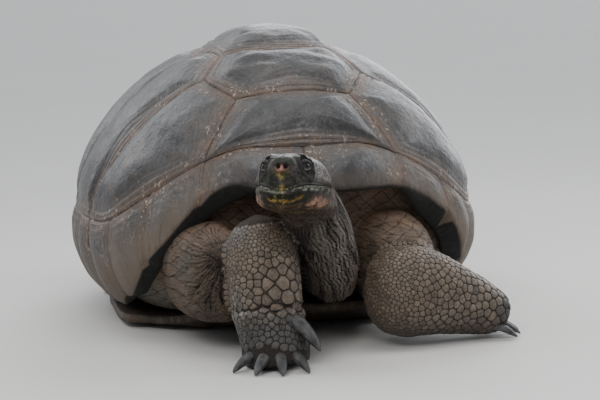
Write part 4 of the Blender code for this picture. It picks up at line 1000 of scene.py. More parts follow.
def headTones(a, s, h, base):
    # colours laid over each other by soft masks of the place ahead, aside and above in the head
    side, flat = np.abs(s), np.stack([a, s, h], -1)
    fleck, fine = rough(flat, 0.009, 3, 71), rough(flat, 0.0046, 2, 72)
    mouth, toEye, nostril = h - mouthHeight(a), eyeAway(a, s, h), nostrilAway(s, h)
    front, above, onFace = past(a, 0.030, 0.03), smooth(mouth / 0.003), past(a, -0.050, 0.045)
    cheek = before(a, 0.050, 0.02) * past(side, 0.028, 0.015) * above * onFace
    top = past(h, 0.041, 0.008) * before(a, 0.086, 0.014)
    rimLitTop = past(side, 0.030, 0.012) * past(h, 0.030, 0.010) * before(a, 0.052, 0.02)
    forehead = past(a, 0.056, 0.014) * past(h, 0.028, 0.006) * before(h, 0.0465, 0.004)
    inner = np.sqrt((a - 0.066) ** 2 + (side - 0.0225) ** 2 + (h - 0.0345) ** 2)
    socket = np.maximum(before(toEye, 0.0285, 0.005), before(inner, 0.0165, 0.005))
    snout = past(a, 0.056, 0.02) * above * before(h, 0.024, 0.006) * past(side, 0.005, 0.004)
    toLeft = smooth(0.5 + s / 0.02)
    jawSide = before(mouth + 0.013 * toLeft, -0.008, 0.004) * past(side, 0.043, 0.010) * onFace
    lip = hill(mouth + 0.0055 + 0.0030 * fleck, 0.0046) * past(a, -0.040, 0.02)
    chin = before(mouth, -0.009, 0.003) * past(mouth, -0.036, 0.006) * front
    tone = laid(
        base, ("face", onFace), ("cheek", cheek * (0.75 + 0.5 * fleck)),
        # painted highlights: light crown tones on the head's top, on its outer top and in a ring over the
        # brow
        ("crown", top * (0.85 + 0.4 * fleck)),
        ("crownHighlight", rimLitTop * (0.65 + 0.5 * fine) * onFace),
        ("greenBlack", forehead * before(side, 0.028, 0.010) * (0.80 + 0.5 * fleck)),
        ("crown", hill(toEye - 0.0300, 0.0024) * past(h, 0.022, 0.01) * 0.45),
        # painted shade: near-black in the hollow round the eye
        ("socketShade", socket * past(side, 0.0125, 0.004) * 0.97),
        ("greenBlack", snout * smooth(0.55 + 1.3 * fleck - 16 * s) * 0.85),
        ("greenBlack", front * hill(mouth - 0.004, 0.006) * 0.8),
        ("jawGrey", before(mouth, -0.008, 0.003) * onFace * (0.9 + 0.3 * fleck)),
        ("cheek", jawSide * (0.60 + 0.9 * fleck)), ("lip", lip * (0.50 + 1.3 * fleck + 0.8 * fine - 6.0 * s)),
        ("greenBlack", chin * (0.92 + 0.2 * fleck)))
    # yellow stain: a thin curved line under the jaw, from which pointed drips run up to uneven heights
    across = np.stack([s, 0 * s, 0 * s], -1)
    upward = 0.012 * past(side, 0.014, 0.030) - mouth - 0.0280 - 0.0018 * noise(across, 0.006, 73)
    peaks = 0.10 + 0.95 * noise(across, 0.0027, 75) + 0.3 * noise(flat, 0.0045, 76) + hill(s - 0.001, 0.0013)
    drip = smooth((peaks * 0.0175 + upward + 0.001) / 0.0030) * before(upward, 0.0012, 0.002)
    drip = drip * before(side, 0.024, 0.009) * past(a, 0.050, 0.02)
    band = hill(upward, 0.0030) * front * before(side, 0.040, 0.014)
    throat = before(mouth, -0.031, 0.005) * onFace
    corner = hill(mouth + 0.0255 + 0.0045 * toLeft + 0.004 * fleck, 0.0082) * past(side, 0.022, 0.016)
    corner = corner * before(a, 0.062, 0.03) * onFace * (0.50 + 0.50 * toLeft)
    stripe = 0.5 + 0.5 * np.cos(throatWave(a, h, flat) * 2 * pi)
    tone = laid(
        tone, ("stain", drip * smooth(0.50 + 1.5 * fine) * 0.75),
        ("amber", band * smooth(0.65 + 1.2 * fleck) * 0.85),
        ("stain", band * smooth(0.30 + 1.5 * fine) * before(side, 0.026, 0.012) * 0.7),
        ("throat", before(h, -0.032, 0.014) * before(a, 0.020, 0.03) * (0.70 + 0.5 * fleck)),
        ("throat", throat * 0.95), ("gold", throat * stripe * smooth(0.6 + fleck) * 0.6),
        ("corner", corner * (0.95 + 0.8 * fine)))
    # mottled streak from between the nostrils down to the beak's tip
    mottle = rough(np.stack([s, 0 * s, h * 0.5], -1), 0.0042, 3, 77)
    blot = noise(np.stack([s, 0 * s, h * 0.55], -1), 0.0048, 78) + 0.5 * mottle
    wide = 0.0042 + 0.0062 * past(h, 0.002, 0.018)
    streak = hill(s / wide, 1.0) * past(a, 0.078, 0.010) * before(h, 0.0240, 0.005) * above
    strong = past(h, 0.001, 0.010) * 0.85 + hill(h + 0.0100, 0.0055) * 0.9
    atFront = past(a, 0.08, 0.01)
    tone = laid(
        tone, ("stain", streak * strong * (0.85 + 0.5 * mottle)),
        ("greenBlack", streak * smooth(0.55 + 3.0 * blot + 1.2 * hill(h - 0.001, 0.006)) * 0.93),
        ("pink", hill(s + 0.001, 0.0050) * hill(h - 0.0250, 0.0052) * past(a, 0.085, 0.008) * 0.9),
        ("pink", hill(nostril - 0.0058, 0.0016) * atFront * before(h, 0.031, 0.006) * 0.45),
        # painted shade in the nostrils
        ("dark", hill(nostril, 0.0042) * atFront * 1.2))
    tone = tone * np.clip(1 + 0.45 * fleck + 0.40 * fine, 0.3, 2.2)[:, None]
    # painted shade inside the nostrils and along the mouth's slit
    tone = tone * (1 - 0.96 * (hill(nostril, 0.0037) * atFront))[..., None]
    tone = tone * (1 - 0.92 * hill(mouth, 0.0018) * past(a, -0.045, 0.02))[..., None]
    return np.clip(tone, 0.002, 0.8)


def onHead(points):  # 1 inside a wide oval round the head's axis, fading out over the nape and the throat
    a, s, h = headParts(points)
    inside = (np.abs(s) / 0.078) ** 2.2 + (np.abs(h - head["level"]) / 0.060) ** 2.2
    return past(a, -0.095, 0.035) * (inside < 1.35)


def skinRegions(points):  # shares from 0 to 1 of the head, the scaly limbs, the neck and the soft rest
    found = {name: follow(points, name) for name in body["scaly"] + ("neck",)}
    region = {"head": onHead(points), "parts": found}
    free = 1 - region["head"]
    for name in body["scaly"]:
        region[name] = before(found[name]["out"], 1.08, 0.06) * free
    region["tail"] = region["tail"] * (points[:, 1] > 0.36)
    for name in ("rightForearm", "leftForearm"):
        region[name] = region[name] * (points[:, 1] < -0.36)
    taken = np.max([region[name] for name in body["scaly"]], axis=0)
    region["neck"] = before(found["neck"]["out"], 1.22, 0.14) * (1 - taken) * free
    region["soft"] = np.clip(1 - taken - region["neck"], 0, 1) * free
    return region


folds = {
    "neckPleats": 40, "neckDepth": 0.0085, "softDepth": 0.0022,
    "elbow": (-0.176, -0.560, 0.196), "fanLines": 42,
    # how far along each limb its dark foot starts
    "footStart": {"rightForearm": 0.58, "leftForearm": 0.76, "leftShank": 0.7, "rightShank": 0.7},
}


def elbowFan(points):  # how much of the wrinkles that spread from the bent right elbow, and the turn round it
    away = points - np.array(folds["elbow"])
    far = np.linalg.norm(away, axis=1)
    share = before(far, 0.135, 0.05) * past(far, 0.006, 0.012) * before(away[:, 0], 0.012, 0.02)
    return share * (points[:, 1] < -0.40), np.arctan2(away[:, 2], -away[:, 0]) / (2 * pi)


def bodyFolds(points, region):
    # metres outwards: pleats round the neck, creases in soft skin, rays from the elbow, a fold at the wrist
    neck = region["parts"]["neck"]
    unrolled = np.stack([neck["turn"] * 0.10, neck["along"] * 0.30, 0 * neck["turn"]], -1)
    drift = 0.9 * rough(unrolled, 0.11, 3, 81)
    wave = np.abs(np.sin(neck["turn"] * 7 / 2 + drift * 3.0))
    out = folds["neckDepth"] * (wave ** 0.6 - 0.75) * region["neck"] * (0.65 + 0.35 * noise(points, 0.05, 83))
    soft = region["soft"]
    crossed = (creases(points, radians(48), 0.030, 0.30, 85)
               + creases(points, radians(118), 0.034, 0.30, 87) * 0.9
               + creases(points, radians(85), 0.050, 0.24, 89))
    out += -folds["softDepth"] * np.clip(crossed, 0, 1.3) * soft
    out += 0.0035 * rough(points, 0.07, 2, 91) * soft
    fan, spoke = elbowFan(points)
    rays = np.abs(np.sin(spoke * folds["fanLines"] * pi / 2 + 1.6 * noise(points, 0.03, 93)))
    out += -0.0022 * (1 - rays) ** 2 * fan * soft
    wrist = points[:, 2] - 0.116 + 3.0 * (points[:, 0] + 0.100) ** 2
    planted = region["rightForearm"] * before(points[:, 1], -0.585, 0.03)
    out += (-0.0055 * hill(wrist, 0.0045) + 0.0040 * hill(wrist + 0.014, 0.009)) * planted
    for name in body["scaly"]:
        out += 0.0012 * rough(points, 0.045, 2, 95) * region[name]
    return out


def bodyTones(points, region):  # colours laid over each other by region, height and a slow noise
    cloud, neck, soft = rough(points, 0.09, 3, 101), region["neck"], region["soft"]
    lower = neck * before(points[:, 2], 0.32, 0.05)
    base = laid(
        np.broadcast_to(skinTone["brown"], points.shape), ("grey", smooth(0.5 + cloud)),
        ("dark", soft * smooth(0.1 + cloud) * 0.20), ("rust", soft * past(points[:, 2], 0.17, 0.08) * 0.55),
        ("paleAndLitSkin", neck * smooth(0.55 + rough(points, 0.03, 2, 103)) * 0.55),
        # painted shade on the lower neck's side towards negative x, and painted light on its side towards
        # positive x
        ("dark", lower * before(points[:, 0], -0.004, 0.022) * (0.70 + 0.3 * cloud)),
        ("paleAndLitSkin", lower * past(points[:, 0], 0.020, 0.014) * (0.60 + 0.3 * cloud)),
        ("brown", region["leftForearm"] * 0.7))
    for name, start in folds["footStart"].items():
        base = laid(base, ("foot", region[name] * past(region["parts"][name]["along"], start, 0.14) * 0.92))
    base = laid(base, ("dark", before(points[:, 2], 0.085, 0.075) * 0.62))
    return base * (1 + 0.10 * cloud)[..., None]


def skinFinish():
    # tint: colour of each place; soft, pebble, face, neck: 0 to 1 where the skin is wrinkled, pebbly,
    # on the head or on the neck, where pleat counts the pleats round it; the crease field: painted shade in a
    # fold
    f = Finish("skinHide")
    tint = f.field("tint", "Color")
    soft, pebble, creaseShade, face, neck, pleat = (f.field(name) for name in
                                               ("soft", "pebble", "creaseShade", "face", "neck", "pleat"))
    wrinkle = f.strokes(0.017, (0.66, 0.12, 0.74), 1.0, 0.17)
    cross = f.strokes(0.021, (-0.52, 0.12, 0.84), 1.0, 0.17)
    fine = f.strokes(0.0070, (0.20, 0.10, 0.97), 1.8, 0.32)
    winding = pleat + (f.grain(0.060) - 0.5) * 4.2 + (f.grain(0.010, 2.0) - 0.5) * 0.45
    worn = f.grain(0.035).span(0.40, 0.58) * 0.65 + 0.35
    valley = (1.0 - winding.ripple(1.0).span(0.0, 0.46)) * neck * worn
    ladder = (1.0 - f.cells(0.0075, 0.5, (1, 1, 0.8)).span(0.0, 0.16)) * neck
    beads, grit, cloud = f.cells(0.0062, 0.4).span(0.0, 0.34), f.grain(0.0035, 4.0), f.grain(0.045)
    lines = (wrinkle * 0.9 + cross * 0.9 + fine * 0.45) * soft * (1.0 - neck)
    # painted shade: folds, neck pleat valleys, wrinkle lines, the gaps between pebbles and the neck's cells
    # take the near-black depth colour
    deep = creaseShade * 0.85 + lines * 0.60 + (1.0 - beads) * pebble * 0.55 + valley * 0.8 + ladder * 0.3
    plain = (1.0 - face - pebble * 1.2).limited()
    base = f.layers(
        tint, (cloud.span(0.40, 0.66) * 0.45 * plain, f.times(tint, 1.7)),
        (deep.limited(), skinTone["depth"]),
        (grit.span(0.57, 0.70) * 0.40 * plain, f.times(tint, 2.2)),
        (f.grain(0.0042, 4.0, warp=0.5).span(0.50, 0.60) * face * 0.50, f.times(tint, 0.35)),
        (f.grain(0.0030).span(0.58, 0.66) * face * 0.60, f.times(tint, 2.4)))
    dullness = 0.66 + (grit - 0.5) * 0.25 + face * 0.12
    normal = f.relief([
        (1.0 - valley, 0.0042), (1.0 - lines - ladder * 0.4, 0.0022), (beads * pebble, 0.0011),
        (f.grain(0.011, 4.0), 0.0010), (f.cells(0.0030, 0.5).span(0.0, 0.4), 0.00030), (grit, 0.00040)])
    return f.close(base, dullness.limited(), normal, Specular_IOR_Level=0.18)


def addSkin():
    # the union is smoothed, least on the head; then each vertex moves along its normal by folds and features
    points, quads = unionOfTubes()
    firstHead = onHead(points)
    points = relax(points, quads, skinMesh["headRounds"])
    points = relax(points, quads, skinMesh["relaxRounds"], firstHead)
    region = skinRegions(points)
    normals = normalsOf(points, quads)
    if ((points - points.mean(axis=0)) * normals).sum() < 0:
        quads, normals = quads[:, ::-1], -normals
    a, s, h = headParts(points)
    out = bodyFolds(points, region) + sculptHead(a, s, h) * region["head"]
    scaly = np.clip(sum(region[name] for name in body["scaly"]), 0, 1) * past(points[:, 2], 0.02, 0.02)
    pebble = np.clip(scaly * 0.8 + region["neck"] * 0.15 + region["head"] * 0.25, 0, 1)
    tint = bodyTones(points, region)
    onFace = region["head"][:, None]
    tint = tint * (1 - onFace) + headTones(a, s, h, tint) * onFace
    points = points + normals * out[:, None]
    points[:, 2] = np.maximum(points[:, 2], ground["skin"])
    # painted shade where the skin sinks below its neighbours, and in the hollows of the soft skin and the
    # neck
    creaseShade = np.clip(-(out - relax(out[:, None].repeat(3, 1), quads, 3)[:, 0]) / 0.0016, 0, 1)
    sunk = np.clip(-out / 0.0045, 0, 1) * (region["soft"] + region["neck"])
    creaseShade = np.maximum(creaseShade, sunk) * (1 - region["head"] * 0.5)
    fan, spoke = elbowFan(points)
    fan = fan * region["soft"] * 0.55
    pleats = region["parts"]["neck"]["turn"] * folds["neckPleats"] / (2 * pi)
    pleats = np.where(fan > region["neck"], spoke * folds["fanLines"], pleats)
    # the skin's tint is darkened under the scales: painted shade between them
    fields = {"tint": laid(tint, ("dark", scaly * 0.75)), "soft": region["soft"], "pebble": pebble,
              "creaseShade": creaseShade, "face": region["head"], "neck": np.maximum(region["neck"], fan),
              "pleat": pleats}
    stands = [name for name in nodeNames if name in ("trunk", "neck", "head", "lower_jaw", "tail")
              or name.endswith(("_upper", "_lower", "_foot"))]
    hide = skinFinish()
    addPiece("skin", points, quads, [], hide, stands, fields)
    print("skin:", 2 * len(quads), "triangles")
    return (points, quads, normalsOf(points, quads)), region, tint, hide


# Eyes and lids

eyes = {
    "gaze": (0.77, 0.63, 0.06), "openWide": radians(37), "openUp": radians(27), "openDown": radians(25),
    "pupil": (0.003, 0.003, 0.003), "iris": (0.034, 0.028, 0.026), "rim": (0.020, 0.017, 0.016),
    "white": (0.55, 0.54, 0.53), "irisPale": (0.085, 0.072, 0.062), "lidRise": 0.0013, "depth": 0.0030,
    "lidSpread": radians(118), "lidRoll": radians(9),
}


def eyeFrame(side):  # centre, gaze, and the two directions across it: forward along the head, and up
    gaze = unit(headPlace(eyes["gaze"][0], eyes["gaze"][1] * side, eyes["gaze"][2]) - headCentre)
    level = unit(headAhead - gaze * np.dot(headAhead, gaze))
    rise = np.cross(level, gaze)
    rise = rise if np.dot(rise, headUp) > 0 else -rise
    a, s, h = head["eye"]
    return headPlace(a, s * side, h) - gaze * eyes["depth"], gaze, level, rise


def eyeFinish():
    # gaze: angle from the middle of the pupil
    f = Finish("eyeBall")
    off = f.field("gaze") + (f.grain(0.0012, 2.0) - 0.5) * 0.05
    streak = f.grain(0.0009)
    iris = f.blend(streak.span(0.35, 0.7), eyes["iris"], eyes["irisPale"])
    base = f.layers(eyes["pupil"], (off.span(0.27, 0.33), iris), (off.span(0.54, 0.60), eyes["rim"]),
                    (off.span(0.62, 0.70), eyes["white"]))
    return f.close(base, 0.14 + streak * 0.05, f.relief([(streak, 0.00004)]), Specular_IOR_Level=0.25,
                   Coat_Weight=0.20, Coat_Roughness=0.06)


def addEyes(hide):  # rings round the gaze, from the pupil to the back
    ball = eyeFinish()
    turn = np.arange(40) * 2 * pi / 40
    for side, word in ((1, "left"), (-1, "right")):
        centre, gaze, level, rise = eyeFrame(side)
        off = np.linspace(0.05, pi - 0.05, 30)[:, None]  # a sphere round the gaze, with a bulge in front
        radius = head["eyeRadius"] * (0.985 + 0.05 * hill(off, 0.55))
        around = np.cos(turn)[None, :, None] * level + np.sin(turn)[None, :, None] * rise
        rings = centre + radius[..., None] * (np.cos(off)[..., None] * gaze + np.sin(off)[..., None] * around)
        front, back = gaze * head["eyeRadius"] * 1.035, gaze * head["eyeRadius"] * 0.985
        points = capped(rings, centre + front, centre - back)
        quads, fans = ringFaces(*rings.shape[:2])
        gazeField = np.append((off + 0 * turn).ravel(), [0.0, pi])
        addPiece("eyeball_" + word, points, quads, fans, ball, ("eye_" + word,), {"gaze": gazeField})
        addLids(word, side, hide)


def addLids(word, side, hide):
    # a ring round the eye: an almond opening, a soft rolled edge, then folds that run out under the skin
    centre, gaze, level, rise = eyeFrame(side)
    turn = (np.arange(72) * 2 * pi / 72)[None]
    tall = np.where(np.sin(turn) > 0, eyes["openUp"], eyes["openDown"])
    across, up = np.abs(np.cos(turn) / eyes["openWide"]), np.abs(np.sin(turn) / tall)
    opening = (across ** 1.7 + up ** 1.7) ** (-1 / 1.7)
    share = np.concatenate([np.linspace(-0.16, 0.0, 4), np.linspace(0.012, 1.0, 34)])[:, None]
    off = opening + (eyes["lidSpread"] - opening) * np.maximum(share, 0)
    off = off - eyes["lidRoll"] * np.maximum(-share / 0.16, 0)
    roll = np.sqrt(np.clip(share + 0.02, 0, 0.10) / 0.10)
    folded = 0.00035 * np.sin(share * 26 + 0.8 * np.sin(turn * 3))
    folded = folded * smooth(share / 0.1) * before(share, 0.9, 0.2)
    heavier = 1.0 + 0.55 * np.clip(np.sin(turn), 0, 1) * hill(share - 0.2, 0.3)
    lift = eyes["lidRise"] * roll * heavier * (1 - 0.5 * past(share, 0.5, 0.5)) + folded
    radius = head["eyeRadius"] * 1.02 + lift
    around = np.cos(turn)[..., None] * level + np.sin(turn)[..., None] * rise
    outer = centre + radius[..., None] * (np.cos(off)[..., None] * gaze + np.sin(off)[..., None] * around)
    inner = centre + (outer[[-1, 0]] - centre) * 0.86
    rings = np.concatenate([outer, inner])
    rows, columns = rings.shape[:2]
    r, c = np.meshgrid(np.arange(rows), np.arange(columns), indexing="ij")
    nextRow, nextColumn = (r + 1) % rows, (c + 1) % columns
    quads = np.stack([r * columns + c, r * columns + nextColumn, nextRow * columns + nextColumn,
                      nextRow * columns + c], -1).reshape(-1, 4)
    edgeShare = np.concatenate([share, [[1.0], [0.0]]]) + 0 * turn
    # painted shade of the eye's hollow, lighter outwards; painted highlights along the upper lid and on the
    # lower front rim; the crease field paints shade in the lid's folds
    tone = laid(
        np.broadcast_to(skinTone["socketShade"], edgeShare.shape + (3,)), ("face", smooth(edgeShare * 1.6) * 0.4),
        ("crown", hill(edgeShare - 0.30, 0.12) * np.clip(np.sin(turn), 0, 1) * 0.25),
        ("paleAndLitSkin", hill(edgeShare - 0.03, 0.05) * smooth(0.35 - np.sin(turn - 0.4))))
    zero = np.zeros(edgeShare.size)
    fields = {"tint": tone.reshape(-1, 3), "soft": zero, "pebble": zero + 0.25, "face": zero + 1.0,
              "creaseShade": np.clip(-np.concatenate([folded, folded[:2]]) / 0.0006, 0, 1).ravel()}
    addPiece("lids_" + word, rings, quads, [], hide, (), fields)


# Beak: the horn edges of both jaws

beak = {
    "axis": 0.020, "sweep": radians(118), "fade": radians(30), "thick": 0.0050,
    "rise": 0.0011, "upperTall": 0.0080, "lowerTall": 0.0100, "steps": 120,
    "dark": (0.022, 0.022, 0.018), "pale": (0.130, 0.132, 0.104), "stain": (0.270, 0.180, 0.030),
    "front": (0.016, 0.017, 0.010), "blot": (0.014, 0.015, 0.010), "side": (0.012, 0.012, 0.011),
    "seam": (0.012, 0.013, 0.008),
}


def headReach(turn, above):
    # distance from the beak's upright axis to the head's surface, by halving between inside and outside
    low, high = np.zeros(np.broadcast(turn, above).shape), np.full(np.broadcast(turn, above).shape, 0.14)
    for _ in range(26):
        middle = (low + high) / 2
        a, s = beak["axis"] + middle * np.cos(turn), middle * np.sin(turn)
        half = np.interp(a, headTable[:, 0], headTable[:, 1], right=1e-4)
        top, bottom = (np.interp(a, headTable[:, 0], headTable[:, k]) for k in (2, 3))
        tall = np.where(above > head["level"], top - head["level"], head["level"] - bottom)
        inside = ((np.abs(s) / half) ** head["squareness"]
                  + (np.abs(above - head["level"]) / tall) ** head["squareness"]) < 1
        low, high = np.where(inside, middle, low), np.where(inside, high, middle)
    return low


def beakFinish():
    # up: 0 on the biting edge, 1 where the horn meets the skin; lower: 1 on that jaw; front: 1 at the tip
    f = Finish("beakHorn")
    up, lower, front = f.field("up"), f.field("lower"), f.field("front")
    grain, streak = f.grain(0.0035), f.grain(0.0022, 3.0, (1, 1, 0.15))
    base = f.layers(
        beak["dark"], ((grain + lower * 0.30 - up * 0.25).span(0.42, 0.60), beak["pale"]),
        (front.span(0.45, 0.9) * lower * 0.75, beak["front"]),
        (streak.span(0.47, 0.58) * front.span(0.55, 0.95) * 0.85, beak["stain"]),
        (f.grain(0.006, 2.0).span(0.46, 0.58) * 0.80, beak["blot"]),
        ((1.0 - lower) * (1.0 - front) * 0.85, beak["side"]),
        (up.span(0.30, 0.85) * lower * (0.35 + front * 0.55), beak["seam"]))
    normal = f.relief([(streak, 0.0004), (grain, 0.0004)])
    return f.close(base, 0.58 + grain * 0.2, normal, Specular_IOR_Level=0.25)


def beakPlace(reach, turn, above):  # so far from the beak's upright axis
    return headPlace(beak["axis"] + reach * np.cos(turn), reach * np.sin(turn), above)


def addBeak():  # for each jaw a band along the mouth line, its outer face a little outside the head's surface
    horn = beakFinish()
    turn = np.linspace(-beak["sweep"], beak["sweep"], beak["steps"])[:, None]
    ends = before(np.abs(turn), beak["sweep"], beak["fade"])
    share = np.array([0.0, 0.04, 0.12, 0.25, 0.45, 0.65, 0.85, 1.0])[None]
    rounded = beak["rise"] * (np.sqrt(np.clip(share / 0.12, 0, 1)) * (1 - share ** 3) * 1.3 - 0.35)
    ahead = beak["axis"] + headReach(turn, mouthHeight(0.05) + 0 * turn) * np.cos(turn)
    for word, direction, tall, hook, lean in (("upper", 1, beak["upperTall"], 0.0035, 0.0010),
                                              ("lower", -1, beak["lowerTall"], 0.0, -0.0004)):
        line = mouthHeight(ahead) - hook * hill(turn, 0.16)
        frontTall = tall * (0.45 + 0.55 * hill(turn, 1.0))
        above = line + direction * (0.0004 + share * frontTall * np.maximum(ends, 0.25))
        bulge = rounded * ends - 0.0012 * (1 - ends) + lean * ends * (1 - share)
        uneven = noise(np.stack([turn * 0.1 + 0 * above, above, 0 * above], -1), 0.004, 131)
        reach = headReach(turn, above) + bulge + 0.0003 * uneven
        inner = beakPlace(reach[:, ::-1] - beak["thick"], turn, above[:, ::-1])
        rings = np.concatenate([beakPlace(reach, turn, above), inner], axis=1)
        quads, fans = ringFaces(*rings.shape[:2])
        upField = np.concatenate([share, share[:, ::-1]], axis=1) + 0 * turn
        frontField = hill(turn, 0.30) + 0 * upField
        fields = {"up": np.append(upField.ravel(), [0, 0]), "front": np.append(frontField.ravel(), [0, 0]),
                  "lower": np.full(upField.size + 2, 1.0 if direction < 0 else 0.0)}
        addPiece("beak_" + word, capped(rings), quads, fans, horn, (), fields)
    print("eyes, lids and beak")


# Claws

claws = {
    "bend": radians(26), "taper": 0.60, "dark": (0.018, 0.018, 0.019), "worn": (0.062, 0.061, 0.062),
    "pale": (0.150, 0.140, 0.122),
    # root, heading from the front, dip, length, radius
    "thumb": ((-0.060, -0.664, 0.084), 50, 31, 0.074, 0.0172),
    # the others of a foot: heading of the first and step to the next; dip, length, radius
    "planted": {"foot": (-0.092, -0.636, 0.026), "spread": (0.060, 0.068), "heading": (24, -28),
                "size": (14, 0.052, 0.0125)},
    "laid": {"foot": (0.370, -0.497, 0.026), "step": 0.0215, "heading": (90, 11),
             "size": (12, 0.046, 0.0105)},
    "hind": {"foot": (0.245, 0.286, 0.020), "spread": (0.056, 0.054), "heading": (45, 33),
             "size": (16, 0.056, 0.012)},
}


def clawFinish():  # dark horn with worn patches and pale streaks
    f = Finish("clawHorn")
    cloud, streak = f.grain(0.016), f.grain(0.0030, 4.0, warp=0.6)
    base = f.layers(claws["dark"], (cloud.span(0.38, 0.64), claws["worn"]),
                    (streak.span(0.58, 0.74) * 0.6, claws["pale"]))
    normal = f.relief([(f.grain(0.008), 0.0008), (streak, 0.0004)])
    return f.close(base, 0.42 + streak * 0.22, normal, Specular_IOR_Level=0.5)


def addClaw(node, base, heading, dip, length, radius, horn):
    # a round section that tapers along a path bending down, blunt at the tip, its root set into the foot
    t = np.concatenate([[-0.30, -0.15], np.linspace(0, 0.93, 15), [0.965, 0.985, 0.996]])
    bend = radians(dip) + claws["bend"] * np.clip(t, 0, 1)
    turn = radians(heading)
    ahead = np.stack([sin(turn) * np.cos(bend), -cos(turn) * np.cos(bend), -np.sin(bend)], -1)
    steps = np.diff(t, prepend=t[0])[:, None] * length
    path = np.array(base) + np.cumsum(ahead * steps, axis=0) + ahead[0] * t[0] * length
    across = np.array([cos(turn), sin(turn), 0.0])
    above = np.cross(ahead, across)
    run = np.clip(t, 0, 1)
    size = radius * (1 - claws["taper"] * run ** 1.3) * np.sqrt(np.clip(1 - run ** 7, 0, 1))
    c, s = (part[None, :, None] for part in oval(20, 2.1))
    s = np.where(s < 0, s * 0.72, s * 0.88)
    rings = path[:, None] + size[:, None, None] * (c * across + s * above[:, None])
    rings = rings + 0.0005 * noise(rings, 0.007, 141)[..., None] * above[:, None]
    rings[..., 2] = np.maximum(rings[..., 2], ground["claw"])
    tip = path[-1] + ahead[-1] * length * 0.008
    tip[2] = max(tip[2], ground["tip"])
    quads, fans = ringFaces(*rings.shape[:2])
    addPiece("horn_" + node, capped(rings, path[0], tip), quads, fans, horn, (node,))


def fanned(foot, k):  # root, heading and size of a claw on the oval end of an upright foot
    (x, y, z), (wide, deep), (first, step) = foot["foot"], foot["spread"], foot["heading"]
    turn = radians(first + step * k)
    return (x + sin(turn) * wide, y - cos(turn) * deep, z), first + step * k, *foot["size"]


def addClaws():  # five on each fore foot, four on each hind foot
    horn = clawFinish()
    addClaw("foreleg_right_claw_1", *claws["thumb"], horn)
    for k in range(4):
        addClaw("foreleg_right_claw_%d" % (k + 2), *fanned(claws["planted"], k), horn)
    foot = claws["laid"]
    (x, y, z), (middle, step) = foot["foot"], foot["heading"]
    for k in range(5):
        off = k - 2
        addClaw("foreleg_left_claw_%d" % (k + 1), (x - 0.004 * off ** 2, y + foot["step"] * off, z),
                middle + step * off, *foot["size"], horn)
    for word, side in (("left", 1), ("right", -1)):
        for k in range(4):
            (x, y, z), heading, *size = fanned(claws["hind"], k)
            addClaw("hindleg_%s_claw_%d" % (word, k + 1), (side * x, y, z), side * heading, *size, horn)
    print("18 claws")


# Scales: closed horn cobbles over the skin, one joined mesh for each leg, the tail and the head

# groove: near-black painted shade round each scale's foot
scales = {"sides": 14, "gap": 0.048, "sink": 0.0024, "tall": 0.170, "patch": 0.0015, "rounds": 3,
          "density": 30.0, "clear": 0.80, "groove": (0.009, 0.007, 0.006)}


def scaleFinish():
    # tint: colour of each scale; rise: 0 at its foot, 1 on its top; it places painted shade at the foot and
    # painted highlight flecks on the top
    f = Finish("scaleHorn")
    tint, rise = f.field("tint", "Color"), f.field("rise")
    grit, cloud = f.grain(0.0024), f.grain(0.012)
    base = f.layers(
        tint, (cloud.span(0.40, 0.66) * 0.50, f.times(tint, 1.60)),
        (f.grain(0.005, 4.0).span(0.48, 0.66) * 0.55, f.times(tint, 0.30)),
        # painted highlight: light flecks only on the top
        (grit.span(0.55, 0.68) * rise.span(0.6, 1.0) * 0.60, f.times(tint, 2.60)),
        # painted shade in the groove round the foot
        ((1.0 - rise.span(0.36, 0.92)) * 0.95, scales["groove"]))
    dullness = 0.58 + (grit - 0.5) * 0.3 - rise * 0.04
    normal = f.relief([(cloud, 0.0010), (f.grain(0.0050, 4.0), 0.0012), (grit, 0.00045)])
    return f.close(base, dullness.limited(), normal, Specular_IOR_Level=0.45)


def scatter(points, quads, normals, share, density, draw):
    # random places on the quads, as many as their area and the density ask
    corners = points[quads]
    area = np.linalg.norm(np.cross(corners[:, 2] - corners[:, 0], corners[:, 3] - corners[:, 1]), axis=1) / 2
    wanted = area * density(corners.mean(axis=1)) * (share[quads].min(axis=1) > 0.5)
    count = np.floor(wanted + draw.random(len(wanted))).astype(int)
    pick = np.repeat(np.arange(len(quads)), count)
    u, v = draw.random((2, len(pick), 1))
    mix = [(1 - u) * (1 - v), u * (1 - v), u * v, (1 - u) * v]
    place = sum(m * points[quads[pick, k]] for k, m in enumerate(mix))
    normal = unit(sum(m * normals[quads[pick, k]] for k, m in enumerate(mix)))
    return place, normal


def spaced(place, width):  # keeps places in a random order, each one clearing its own ring of all later ones
    tree = treeOf(place)
    free = np.ones(len(place), bool)
    kept = []
    for k in range(len(place)):
        if free[k]:
            kept.append(k)
            free[[found[1] for found in tree.find_range(place[k], width[k] * scales["clear"])]] = False
    return np.array(kept)


def nearestOf(tree, place, count):  # indices of the nearest points of the tree, one row for each place
    return np.array([[found[1] for found in tree.find_n(p, count)] for p in place])


def neighboursOf(place, count):  # the same among the places themselves, without the place
    return nearestOf(treeOf(place), place, count + 1)[:, 1:]


def tangents(normal):  # two directions across each normal
    first = unit(np.cross(normal, np.where(np.abs(normal[:, 2:]) > 0.8, [[1.0, 0, 0]], [[0, 0, 1.0]])))
    return first, np.cross(normal, first)


